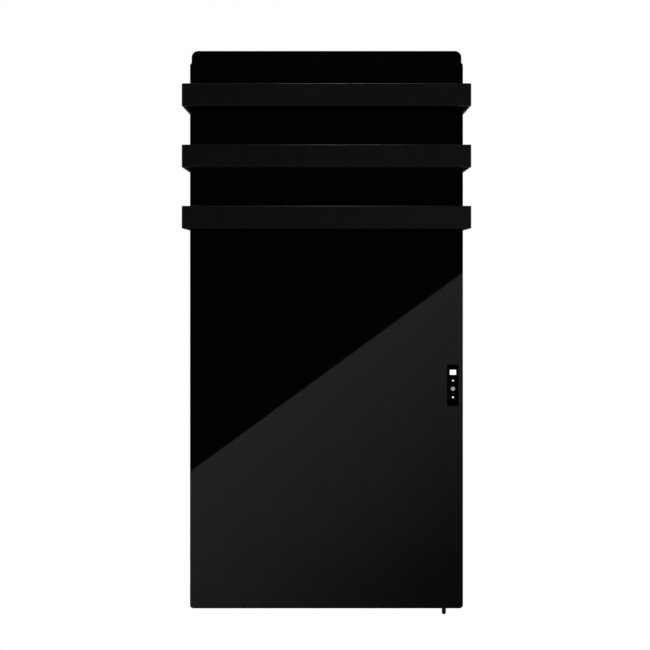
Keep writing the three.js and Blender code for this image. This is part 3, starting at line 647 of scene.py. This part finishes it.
def outlet_cowl():
    """A hollow hood with rounded upper corners, open at its foot and slotted along its top."""
    height = cowl_hi.z - cowl_lo.z
    level = (cowl_hi.z + cowl_lo.z) / 2
    width = cowl_hi.x - cowl_lo.x
    sharp = 0.1 * MM
    corners = [sharp, COWL_CORNER, COWL_CORNER, sharp]
    cowl = slab(
        "outlet_cowl", round_rect(width, height, corners, 0, level, 14), cowl_lo.y, cowl_hi.y, "y",
        COWL_EDGE, COWL_EDGE, 5,
    )
    inner_round = COWL_CORNER - COWL_WALL
    inner_top = cowl_hi.z - COWL_WALL
    foot = cowl_lo.z - 5 * MM
    inner_corners = [sharp, inner_round, inner_round, sharp]
    hollow = round_rect(
        width - 2 * COWL_WALL, inner_top - foot, inner_corners, 0, (inner_top + foot) / 2, 10,
    )
    cut(cowl, [slab("cutter", hollow, cowl_lo.y + COWL_WALL, cowl_hi.y - COWL_WALL)])
    y_centre = (cowl_lo.y + cowl_hi.y) / 2
    half = width / 2 - COWL_CORNER - COWL_WALL
    places = slot_places(2 * half, SLOT["length"], SLOT["pitch"])
    cut(cowl, slot_cutters(places, y_centre, inner_top - MM, cowl_hi.z + MM, SLOT))
    finished(cowl, COWL_COAT, ["top_outlet_cowl"])


# ---------------------------------------------------------------- control module
MODULE_EDGE = 0.7 * MM
MODULE_FACE = 1.6 * MM  # thickness of the module's front
DISPLAY_PANE = (11.4 * MM, 9 * MM)
DISPLAY_CLEAR = 0.3 * MM
KEYS = ("key_up", "key_ok", "key_down")
KEY_LIP = 0.8 * MM  # how far a key's flange stands out past its cap
KEY_FLANGE = 0.8 * MM
KEY_CLEAR = 0.3 * MM
ARROW_SIZE = 3.9 * MM
MARK_PROUD = 0.02 * MM  # how far a mark stands out of its key
MARK_DEEP = 0.4 * MM


def arrow_outline(direction, size, cu, cv):
    """A small triangle with rounded corners, pointing up or down."""

    def outline(inset=0.0):
        points = []
        reach = size / 2 - inset
        for i in range(3):
            heading = direction * pi / 2 + i * 2 * pi / 3
            for k in range(5):
                a = heading + (k / 4 - 0.5) * 2 * pi / 3
                points.append((cu + reach * (0.62 * cos(heading) + 0.38 * cos(a)),
                               cv + reach * (0.62 * sin(heading) + 0.38 * sin(a))))
        return points

    return outline


def control_module():
    """The bezel with its stem and openings, the display's pane and the three keys."""
    width = bezel_hi.x - bezel_lo.x
    height = bezel_hi.z - bezel_lo.z
    plate_front = bezel_lo.y
    plate_back = plate_front + MODULE_FACE
    before = plate_front - MM
    behind = plate_back + MM
    seat = GLASS_FRONT - 0.3 * MM
    display_lo, display_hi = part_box("display_window")
    display_z = middle("display_window").z
    housing = slab(
        "control_bezel", round_rect(width, height, 1.8 * MM, MODULE_X, MODULE_Z), plate_front, seat, "y",
        MODULE_EDGE, 0.2 * MM, 4,
    )
    stem_outline = round_rect(STEM["width"], STEM["height"], 1.5 * MM, MODULE_X, MODULE_Z)
    boolean(housing, [slab("stem", stem_outline, plate_back, bezel_hi.y)], "UNION")
    wall = 1.2 * MM
    room = round_rect(STEM["width"] - 2 * wall, STEM["height"] - 2 * wall, 0.4 * MM, MODULE_X, MODULE_Z)
    cut(housing, [slab("cutter", room, plate_back, bezel_hi.y + MM)])
    pane_width, pane_height = DISPLAY_PANE
    window = round_rect(
        pane_width + 2 * DISPLAY_CLEAR, pane_height + 2 * DISPLAY_CLEAR, 0.9 * MM, MODULE_X, display_z,
    )
    cutters = [slab("cutter", window, before, behind)]
    for key in KEYS:
        k_lo, k_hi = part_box(key)
        hole = (k_hi.x - k_lo.x) / 2 - KEY_LIP + KEY_CLEAR
        cutters.append(slab("cutter", circle(hole, MODULE_X, middle(key).z, 56), before, behind))
    cut(housing, cutters)
    finished(housing, BEZEL_PLASTIC, ["control_housing"])

    pane = slab(
        "display_pane", round_rect(pane_width, pane_height, 0.6 * MM, MODULE_X, display_z, 5),
        display_lo.y, display_hi.y, "y", 0.15 * MM, 0.1 * MM, 2,
    )
    finished(pane, DISPLAY, ["display_window"])

    for key in KEYS:
        key_piece(key)


def key_piece(key):
    """A round key cap with a softly dished face, its flange, its plunger and its printed mark."""
    lo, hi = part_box(key)
    z = middle(key).z
    front = lo.y
    flange = bezel_lo.y + MODULE_FACE + 0.3 * MM
    flange_end = flange + KEY_FLANGE
    lip_radius = (hi.x - lo.x) / 2
    radius = lip_radius - KEY_LIP
    soft = 0.5 * MM
    rim = [(radius - soft * (1 - sin(a)), front + soft * (1 - cos(a))) for a in quarter(6)]
    dish = [((radius - 0.7 * MM) * t, front + 0.12 * MM * (1 - t * t)) for t in (0, 0.25, 0.5, 0.75, 1)]
    plunger = 1.5 * MM
    profile = [*dish, *rim, (radius, flange), (lip_radius, flange), (lip_radius, flange_end),
               (plunger, flange_end), (plunger, hi.y), (0, hi.y)]
    cap = turned(f"cap_{key}", profile, "y", (MODULE_X, 0, z), 56)
    if key == "key_ok":
        name, outline = "mark_ok", round_rect(5 * MM, 1.5 * MM, 0.7 * MM, MODULE_X, z, 5)
        # the ok key's grey cap and band carry the painted glow that brightens them
        cap_looks, cap_slot, mark_looks, mark_slot = GREY_KEY_PAINTED_GLOW, "grey_key", KEY_BAND_PAINTED_GLOW, "grey_key"
    else:
        name, outline = f"mark_{key}", arrow_outline(1 if key == "key_up" else -1, ARROW_SIZE, MODULE_X, z)
        cap_looks, cap_slot, mark_looks, mark_slot = BEZEL_PLASTIC, "black_plastic", MARK_WHITE, "display"
    finished(cap, cap_looks, [key], key)
    mark = slab(name, outline, front - MARK_PROUD, front + MARK_DEEP)
    finished(mark, mark_looks, (), key)


# ---------------------------------------------------------------- room sensor
def sensor_probe():
    """A short round-ended rod below the bottom edge."""
    radius = (probe_hi.x - probe_lo.x) / 2
    centre = (*middle("sensor_probe").xy, 0)
    tip = [(radius * sin(a), probe_lo.z + radius * (1 - cos(a))) for a in quarter(12)]
    top = probe_hi.z
    profile = [*tip, (radius, top - 0.6 * MM), (radius - 0.6 * MM, top), (0, top)]
    probe = turned("room_sensor_probe", profile, "z", centre, 48)
    finished(probe, PLASTIC, ["sensor_probe"])


def sensor_grommet():
    """A ring with a groove, round the probe where it leaves the intake cover."""
    lo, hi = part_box("sensor_grommet")
    centre = (*middle("sensor_grommet").xy, 0)
    outer = (hi.x - lo.x) / 2
    bore = 4.05 * MM
    neck = 5.6 * MM
    lip = 1.5 * MM
    soft = 0.45 * MM
    profile = [(bore, lo.z + soft), (bore + soft, lo.z), (outer - soft, lo.z), (outer, lo.z + soft),
               (outer, lo.z + lip - 0.1 * MM), (outer - 0.1 * MM, lo.z + lip), (neck, lo.z + lip),
               (neck, hi.z - lip), (outer - 0.1 * MM, hi.z - lip), (outer, hi.z - lip + 0.1 * MM),
               (outer, hi.z - soft), (outer - soft, hi.z), (bore + soft, hi.z), (bore, hi.z - soft),
               (bore, lo.z + soft)]
    ring = turned("sensor_lead_grommet", profile, "z", centre, 56)
    finished(ring, RUBBER, ["sensor_grommet"])


# ---------------------------------------------------------------- rear housing
CASE_SHEET = 1.2 * MM
CASE_LIP = 6 * MM
HOOK = {"x": 125 * MM, "width": 30 * MM, "side": 1.5 * MM, "drop": 14 * MM, "lip": 10 * MM, "reach": 4 * MM}
LOCK = {"x": 100 * MM, "lug": 24 * MM, "flange": 16 * MM, "sheet": 2 * MM}
SOFTNESS = {"film": 0.1, "aluminium": 0.25, "zinc_steel": 0.2, "circuit": 0.15, "mineral_board": 1.0}
BEAD = {"x": 212 * MM, "width": 11 * MM, "rise": 0.9 * MM, "low": -400 * MM, "high": 420 * MM}
SWITCH = {
    "frame": (19 * MM, 33 * MM), "core": (15 * MM, 29 * MM), "well": (12.2 * MM, 26.2 * MM),
    "clear": 0.3 * MM, "paddle_half": 5.8 * MM, "tilt": -8,
}
GLAND_HOLE = 6.1 * MM
GROMMET_HOLE = 5.9 * MM
BEYOND = 4 * MM  # how far a cutter runs past a sheet


def rear_housing():
    """A sheet folded into a tray with lips at its front, pressed beads, and lugs for the lock screws."""
    half = case_hi.x - CASE_SHEET / 2
    front = CASE_FRONT + CASE_SHEET / 2
    back = CASE_BACK - CASE_SHEET / 2
    lip_end = case_hi.x - CASE_SHEET - CASE_LIP
    path = [(-lip_end, front), (-half, front), (-half, back), (half, back), (half, front), (lip_end, front)]
    shell = slab(
        "folded_housing", bent(path, CASE_SHEET, 0.8 * MM), case_lo.z, case_hi.z, "z",
        0.15 * MM, 0.15 * MM, 2,
    )
    thin = 0.02 * MM
    added = []
    for z in (case_lo.z + CASE_LIP / 2, case_hi.z - CASE_LIP / 2):
        strip = round_rect(2 * half, CASE_LIP - 2 * thin, 0.2 * MM, 0, z, 2)
        added.append(slab("strip", strip, CASE_FRONT + thin, CASE_FRONT + CASE_SHEET - thin))
    for side in (-1, 1):
        bead = round_rect(
            BEAD["width"], BEAD["high"] - BEAD["low"], BEAD["width"] / 2, side * BEAD["x"],
            (BEAD["low"] + BEAD["high"]) / 2, 8,
        )
        added.append(slab("bead", bead, back, CASE_BACK + BEAD["rise"], "y", 0, 0.85 * BEAD["rise"], 4))
        added.append(lock_lug(side))
    boolean(shell, added, "UNION")

    cutters = []
    for side in (-1, 1):
        slot_top = ARM_TOP + 0.3 * MM
        slot_foot = ARM_TOP - HOOK["drop"]
        outline = round_rect(
            HOOK["width"] + 2 * HOOK["side"], slot_top - slot_foot, 2 * MM, side * HOOK["x"],
            (slot_top + slot_foot) / 2,
        )
        cutters.append(slab("cutter", outline, back - BEYOND, CASE_BACK + BEYOND))
    gland = middle("cable_gland")
    cutters.append(bar(GLAND_HOLE, back - BEYOND, CASE_BACK + BEYOND, "y", (gland.x, 0, gland.z)))
    switch = middle("mains_switch_body")
    core_width, core_height = SWITCH["core"]
    gap = 2 * SWITCH["clear"]
    opening = round_rect(core_width + gap, core_height + gap, 0.8 * MM, switch.y, switch.z)
    cutters.append(slab("cutter", opening, half - BEYOND, half + BEYOND, "x"))
    for label in ("top", "middle", "bottom"):
        for height in ("lower", "upper"):
            place = middle(f"rail_screw_{label}_right_{height}")
            cutters.append(bar(SCREW_HOLE, -half - BEYOND, half + BEYOND, "x", (0, place.y, place.z), 24))
    cut(shell, cutters)
    finished(shell, CASE_COAT, ["rear_housing"])


def lock_lug(side):
    """A tab folded out from the back, with a hole for its lock screw."""
    sheet = LOCK["sheet"]
    level = -ARM_TOP - 0.3 * MM - sheet / 2
    root = CASE_BACK + sheet / 2 - 0.02 * MM
    path = [(case_hi.y, level), (root, level), (root, level - LOCK["flange"])]
    x = side * LOCK["x"]
    lug = slab(
        "lug", bent(path, sheet, 1 * MM), x - LOCK["lug"] / 2, x + LOCK["lug"] / 2, "x",
        0.3 * MM, 0.3 * MM, 2,
    )
    hole = bar(SCREW_HOLE, level - 3 * MM, level + 3 * MM, "z", (x, middle("lock_screw_right").y, 0))
    return cut(lug, [hole])


# ---------------------------------------------------------------- intake cover
INTAKE = {
    "plate": 2 * MM, "margin": 12 * MM, "length": 26 * MM, "width": 8 * MM, "pitch": 34 * MM,
    "row_pitch": 16 * MM, "from_grommet": 7.5 * MM,
}


def intake_cover():
    """A moulded channel that closes the foot of the housing, with two rows of round-ended slots."""
    lo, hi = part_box("bottom_intake_cover")
    plate = INTAKE["plate"]
    side = hi.x - plate / 2
    level = lo.z + plate / 2
    path = [(-side, hi.z), (-side, level), (side, level), (side, hi.z)]
    cover = slab("intake_grille", bent(path, plate, 0.8 * MM), lo.y, hi.y, "y", 0.4 * MM, 0.4 * MM, 3)
    y_centre = (lo.y + hi.y) / 2
    probe = middle("sensor_probe")
    under = lo.z - MM
    over = level + 3 * MM
    grommet_hole = bar(GROMMET_HOLE, under, over, "z", (probe.x, probe.y, 0))
    clear = INTAKE["from_grommet"] + INTAKE["length"] / 2
    places = slot_places(2 * (hi.x - INTAKE["margin"]), INTAKE["length"], INTAKE["pitch"])
    places = [x for x in places if abs(x - probe.x) >= clear]
    cut(cover, [grommet_hole, *slot_cutters(places, y_centre, under, over, INTAKE)])
    finished(cover, PLASTIC, ["bottom_intake_cover"])


# ---------------------------------------------------------------- wall bracket and fixings
BRACKET = {"sheet": 2 * MM, "arm_half": 160 * MM, "arm": 50 * MM, "spine_half": 40 * MM}
WALL_SLOT = {"length": 15.2 * MM, "width": 7.2 * MM, "x": 145 * MM, "from_end": 25 * MM}


def wall_bracket():
    """A folded steel frame: a channel-shaped spine, two angle arms and two hooks."""
    sheet = BRACKET["sheet"]
    thin = 0.02 * MM
    edge = 0.25 * MM
    front = CASE_BACK + MM
    arm_half = BRACKET["arm_half"]
    spine_half = BRACKET["spine_half"] - sheet / 2
    wall = -sheet / 2
    web = wall - thin
    spine_path = [(-spine_half, front), (-spine_half, web), (spine_half, web), (spine_half, front)]
    bracket = slab(
        "folded_bracket", bent(spine_path, sheet, 1 * MM), -ARM_TOP + 0.4 * MM, ARM_TOP - 0.4 * MM, "z",
        edge, edge, 2,
    )
    added = []
    for side in (-1, 1):
        level = side * (ARM_TOP - sheet / 2)
        path = [(front, level), (wall, level), (wall, side * (ARM_TOP - BRACKET["arm"]))]
        added.append(slab("arm", bent(path, sheet, 1 * MM), -arm_half, arm_half, "x", edge, edge, 2))
    reach = CASE_BACK - CASE_SHEET - HOOK["reach"] + sheet / 2
    for side in (-1, 1):
        level = ARM_TOP - sheet / 2 - thin
        path = [(front + 1.5 * MM, level), (reach, level), (reach, ARM_TOP + HOOK["lip"])]
        low = side * HOOK["x"] - HOOK["width"] / 2
        added.append(slab("hook", bent(path, sheet, 1 * MM), low, low + HOOK["width"], "x", edge, edge, 2))
    boolean(bracket, added, "UNION")
    cutters = []
    slot_z = ARM_TOP - WALL_SLOT["from_end"]
    for side in (-1, 1):
        lock_place = (side * LOCK["x"], middle("lock_screw_right").y, 0)
        cutters.append(bar(SCREW_HOLE, -ARM_TOP - 3 * MM, -ARM_TOP + 5 * MM, "z", lock_place))
        for z in (-slot_z, slot_z):
            outline = round_rect(
                WALL_SLOT["length"], WALL_SLOT["width"], WALL_SLOT["width"] / 2 - 0.01 * MM,
                side * WALL_SLOT["x"], z, 10,
            )
            cutters.append(slab("cutter", outline, -4 * MM, 2 * MM))
    cut(bracket, cutters)
    finished(bracket, ZINC, ["wall_bracket"])


def wall_bumper(hand):
    """A round rubber foot with a softened, dimpled end and a groove round its side."""
    lo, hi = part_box(f"wall_bumper_{hand}")
    radius = (hi.x - lo.x) / 2
    bend = 1.4 * MM
    soft = [(radius - bend * (1 - cos(a)), -bend * (1 - sin(a))) for a in quarter(6)]
    dimple = [(4.2 * MM * t, -1.5 * MM * (1 - t * t)) for t in (0, 0.3, 0.6, 0.85, 1)]
    groove = [(radius, -7.6 * MM), (radius - 0.7 * MM, -8.3 * MM), (radius - 0.7 * MM, -9.7 * MM),
              (radius, -10.4 * MM)]
    edge = 0.4 * MM
    profile = [*dimple, (4.6 * MM, 0), *soft[::-1], *groove, (radius, lo.y + edge), (radius - edge, lo.y),
               (0, lo.y)]
    place = middle(f"wall_bumper_{hand}")
    centre = (place.x, 0, place.z)
    foot = turned(f"rubber_foot_{hand}", profile, "y", centre, 64)
    finished(foot, RUBBER, [f"wall_bumper_{hand}"])


def hexagon(name, flats, low, high, centre):
    """A six-sided bar along Y with its corners chamfered."""
    reach = flats / 3 ** 0.5
    made = turned(name, [(0, low), (reach, low), (reach, high), (0, high)], "y", centre, 6)
    slope = 0.6 * MM
    rim = flats / 2 - 0.2 * MM
    guard = turned("cutter", [(0, low), (rim, low), (reach, low + slope), (reach, high - slope), (rim, high),
                              (0, high)], "y", centre, 48)
    return boolean(made, [guard], "INTERSECT")


def cable_gland():
    """A gland with two hexagons, a rounded nose, a thread and a seal, and the nut inside the housing."""
    lo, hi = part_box("cable_gland")
    place = middle("cable_gland")
    centre = (place.x, 0, place.z)
    head = CASE_BACK + 0.3 * MM
    base_end = head + 4.6 * MM
    gland = hexagon("lead_gland", 16 * MM, head, base_end, centre)
    cap = hexagon("cap", 15.4 * MM, base_end + 0.5 * MM, head + 9 * MM, centre)
    barrel = 6.6 * MM
    nose = [(barrel - 1.6 * MM * (1 - cos(a)), head + 10.4 * MM + 2.6 * MM * sin(a)) for a in quarter(7)]
    start = head + 0.5 * MM
    core = turned("core", [(0, start), (barrel, start), *nose, (0, hi.y)], "y", centre, 48)
    thread = [(0, lo.y)]
    pitch = 1.5 * MM
    groove, crest = 5.3 * MM, 5.8 * MM
    turns = int((head - lo.y) / pitch)
    for i in range(turns):
        thread += [(groove, lo.y + i * pitch), (crest, lo.y + (i + 0.5) * pitch)]
    thread += [(groove, lo.y + turns * pitch), (groove, head + 0.6 * MM), (0, head + 0.6 * MM)]
    boolean(gland, [cap, core, turned("thread", thread, "y", centre, 40)], "UNION")
    cut(gland, [bar(3.5 * MM, lo.y - MM, hi.y + MM, "y", centre, 48)])
    finished(gland, PLASTIC, ["cable_gland"])
    inner, outer = 2.6 * MM, 3.6 * MM
    low, high = hi.y - 5 * MM, hi.y - 1.2 * MM
    ring = [(inner, low), (outer, low), (outer, high), (inner + 0.5 * MM, high), (inner, high - 0.5 * MM),
            (inner, low)]
    finished(turned("gland_seal", ring, "y", centre, 48), RUBBER)

    lo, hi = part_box("gland_nut")
    nut = hexagon("gland_lock_nut", 16 * MM, lo.y, hi.y, centre)
    cut(nut, [bar(GLAND_HOLE, lo.y - MM, hi.y + MM, "y", centre, 48)])
    finished(nut, PLASTIC, ["gland_nut"])


# ---------------------------------------------------------------- mains switch
def mains_switch():
    """The switch's frame and well in the housing's right side, and its rocking paddle."""
    lo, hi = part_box("mains_switch_body")
    place = middle("mains_switch_body")
    y, z = place.y, place.z
    face = hi.x
    seat = case_hi.x + 0.3 * MM
    flange = round_rect(*SWITCH["frame"], 2.4 * MM, y, z)
    body = slab("switch_frame", flange, seat, face, "x", 0, 0.7 * MM, 4)
    core = round_rect(*SWITCH["core"], 0.6 * MM, y, z)
    boolean(body, [slab("core", core, lo.x, seat + 0.4 * MM, "x", 0.3 * MM, 0, 2)], "UNION")
    well = round_rect(*SWITCH["well"], 0.7 * MM, y, z)
    cut(body, [slab("cutter", well, face - 8 * MM, face + MM, "x")])
    finished(body, PLASTIC, ["mains_switch_body"])

    # the paddle is shallowly hollowed, and rests with its lower end standing out
    points = [(-1.6, 0), (0, -5.4), (4.5, -12), (3.2, 0), (4.5, 12), (0, 5.4)]
    outline = polygon([(u * MM, v * MM) for u, v in points], [r * MM for r in (2, 2, 0.8, 24, 0.8, 2)], 8)
    half = SWITCH["paddle_half"]
    paddle = slab("switch_paddle", outline, -half, half, "y", 0.5 * MM, 0.5 * MM, 4)
    turn = Matrix.Rotation(radians(SWITCH["tilt"]), 4, "Y")
    paddle.data.transform(Matrix.Translation((face - 1.9 * MM, y, z)) @ turn)
    finished(paddle, PLASTIC, ["mains_switch_rocker"], "rocker")


glass_panel()
for rail_label in ("top", "middle", "bottom"):
    towel_rail(rail_label)
outlet_cowl()
control_module()
sensor_probe()
sensor_grommet()
rear_housing()
intake_cover()
wall_bracket()
for side_name in ("left", "right"):
    wall_bumper(side_name)
    screw(f"bracket_screw_{side_name}", f"lock_screw_{side_name}", -1, "z", 4.4 * MM, 2.6 * MM)
cable_gland()
mains_switch()

# ---------------------------------------------------------------- the plainer pieces
FINISHES = {
    "rubber": RUBBER, "film": FILM, "aluminium": ALUMINIUM, "mineral_board": MINERAL, "zinc_steel": ZINC,
    "black_coat": CASE_COAT, "rail_coat": RAIL_COAT, "black_plastic": PLASTIC, "grey_key": GREY_KEY_PAINTED_GLOW,
    "display": DISPLAY, "white_plastic": WHITE_PLASTIC, "blue_plastic": BLUE_PLASTIC, "circuit": CIRCUIT,
    "dark_steel": DARK_STEEL, "glass_front": GLASS,
}
for part in frame["record"]["subparts"]:
    node = frame["nodes"][part["node"]]
    looks = FINISHES[part["material_slot"]]
    node.data.materials.clear()
    node.data.materials.append(looks)
    if not node.hide_render:
        softness = SOFTNESS.get(part["material_slot"], 0.3) * MM
        refined(part["node"], looks, softness)


# ---------------------------------------------------------------- studio
FLOOR_Z = -1.25
CARD_Y = -3.0
CARD_BRIGHT = 0.375
CARD_DIM = 0.065
CARD_REACH = 4.5
CARD_EDGE = ((-0.250, -0.250), (0.250, 0.1152))  # where its edge shows at the glass's sides, as (x, z)
CARD_SLOPE = Vector((0.656, 0, -0.755))  # the way its brightness falls
CARD_FADE = 0.545  # how far along the glass, from its middle, the fall takes
WORLD_DIFFUSE = 0.25
WORLD_GLOSSY = 0.008
WORLD_GLOSSY_ROUND = 0.10


def emission_material(name):
    """A white surface that gives its own light, with its node tree and its emission node."""
    material = bpy.data.materials.new(name)
    material.use_nodes = True
    tree = material.node_tree
    tree.nodes.clear()
    output = tree.nodes.new("ShaderNodeOutputMaterial")
    glow = tree.nodes.new("ShaderNodeEmission")
    glow.inputs["Color"].default_value = (1, 1, 1, 1)
    glow.inputs["Strength"].default_value = 1.0
    tree.links.new(glow.outputs[0], output.inputs["Surface"])
    return material, tree, glow


def floor():
    """An even white floor, well below the wall-hung object."""
    bpy.ops.mesh.primitive_plane_add(size=14, location=(0, 0, FLOOR_Z))
    plane = bpy.context.active_object
    plane.name = "floor"
    plane.data.materials.append(emission_material("pale_floor")[0])
    plane.visible_glossy = False
    plane.visible_diffuse = False
    plane.visible_shadow = False


def mirrored(x, z):
    """Where the lens sees the card in the glass at the glass point (x, z)."""
    eye_y = 2 * GLASS_FRONT - camera.location.y
    t = (CARD_Y - eye_y) / (GLASS_FRONT - eye_y)
    eye = camera.location
    return Vector((eye.x + (x - eye.x) * t, CARD_Y, eye.z + (z - eye.z) * t))


def reflection_card():
    """A tall soft panel behind the lens, cut on a slant, which the glass mirrors."""
    low, high = (mirrored(x, z) for x, z in CARD_EDGE)
    along = (high - low).normalized()
    start = low - along * 2.5
    end = high + along * 2.5
    down = Vector((along.z, 0, -along.x)) * CARD_REACH
    mesh = bpy.data.meshes.new("reflection_card")
    mesh.from_pydata([start, end, end + down, start + down], [], [(0, 1, 2, 3)])
    card = link("reflection_card", mesh)
    material, tree, glow = emission_material("card_glow")
    place = tree.nodes.new("ShaderNodeTexCoord").outputs["Object"]
    first, last = mirrored(0, 0), mirrored(CARD_FADE * CARD_SLOPE.x, CARD_FADE * CARD_SLOPE.z)
    dot = tree.nodes.new("ShaderNodeVectorMath")
    dot.operation = "DOT_PRODUCT"
    dot.inputs[1].default_value = CARD_SLOPE
    tree.links.new(place, dot.inputs[0])
    fade = tree.nodes.new("ShaderNodeMapRange")
    fade.interpolation_type = "SMOOTHSTEP"
    fade.inputs["From Min"].default_value = first.dot(CARD_SLOPE)
    fade.inputs["From Max"].default_value = last.dot(CARD_SLOPE)
    fade.inputs["To Min"].default_value = CARD_BRIGHT
    fade.inputs["To Max"].default_value = CARD_DIM
    tree.links.new(dot.outputs["Value"], fade.inputs["Value"])
    tree.links.new(fade.outputs["Result"], glow.inputs["Strength"])
    card.data.materials.append(material)
    card.visible_camera = False
    card.visible_diffuse = False
    card.visible_shadow = False


def area_light(name, place, target, size, power):
    """A soft rectangular lamp, not seen by the lens."""
    data = bpy.data.lights.new(name, "AREA")
    data.shape = "RECTANGLE"
    data.size, data.size_y = size
    data.energy = power
    light = bpy.data.objects.new(name, data)
    bpy.context.scene.collection.objects.link(light)
    light.location = place
    light.rotation_euler = (Vector(target) - Vector(place)).to_track_quat("-Z", "Y").to_euler()
    light.visible_camera = False


def world():
    """White to the lens, soft to matt surfaces, and to glossy ones dark ahead with soft light round it."""
    made = bpy.data.worlds.new("studio")
    bpy.context.scene.world = made
    made.use_nodes = True
    tree = made.node_tree
    tree.nodes.clear()
    output = tree.nodes.new("ShaderNodeOutputWorld")
    path = tree.nodes.new("ShaderNodeLightPath")
    shades = []
    for strength in (1.0, WORLD_DIFFUSE, WORLD_GLOSSY):
        back = tree.nodes.new("ShaderNodeBackground")
        back.inputs["Color"].default_value = (1, 1, 1, 1)
        back.inputs["Strength"].default_value = strength
        shades.append(back)
    ahead = tree.nodes.new("ShaderNodeVectorMath")
    ahead.operation = "DOT_PRODUCT"
    ahead.inputs[1].default_value = (0, -1, 0)
    tree.links.new(tree.nodes.new("ShaderNodeTexCoord").outputs["Generated"], ahead.inputs[0])
    spread = tree.nodes.new("ShaderNodeMapRange")
    spread.interpolation_type = "SMOOTHSTEP"
    spread.inputs["From Min"].default_value = 0.86
    spread.inputs["From Max"].default_value = 0.35
    spread.inputs["To Min"].default_value = WORLD_GLOSSY
    spread.inputs["To Max"].default_value = WORLD_GLOSSY_ROUND
    tree.links.new(ahead.outputs["Value"], spread.inputs["Value"])
    tree.links.new(spread.outputs["Result"], shades[2].inputs["Strength"])

    def mixed(ray, others, own):
        """One light for a kind of ray, and another for the others."""
        mix = tree.nodes.new("ShaderNodeMixShader")
        tree.links.new(path.outputs[ray], mix.inputs["Fac"])
        tree.links.new(others.outputs[0], mix.inputs[1])
        tree.links.new(own.outputs[0], mix.inputs[2])
        return mix

    seen = mixed("Is Camera Ray", mixed("Is Glossy Ray", shades[1], shades[2]), shades[0])
    tree.links.new(seen.outputs[0], output.inputs["Surface"])


floor()
reflection_card()
world()
area_light("overhead", (0.04, -0.24, 1.12), (0.04, -0.13, 0.35), (0.16, 0.08), 1.5)
area_light("left_panel", (-2.1, 0.8, 0.5), (0, 0, 0), (2.2, 2.6), 30)
area_light("right_panel", (2.1, 0.8, 0.5), (0, 0, 0), (2.2, 2.6), 30)
area_light("back_panel_left", (-1.5, 2.2, 0.9), (0, 0, 0), (2.0, 2.4), 34)
area_light("back_panel_right", (1.5, 2.2, 0.4), (0, 0, 0), (1.8, 2.4), 22)
bpy.context.scene.view_settings.view_transform = "Standard"
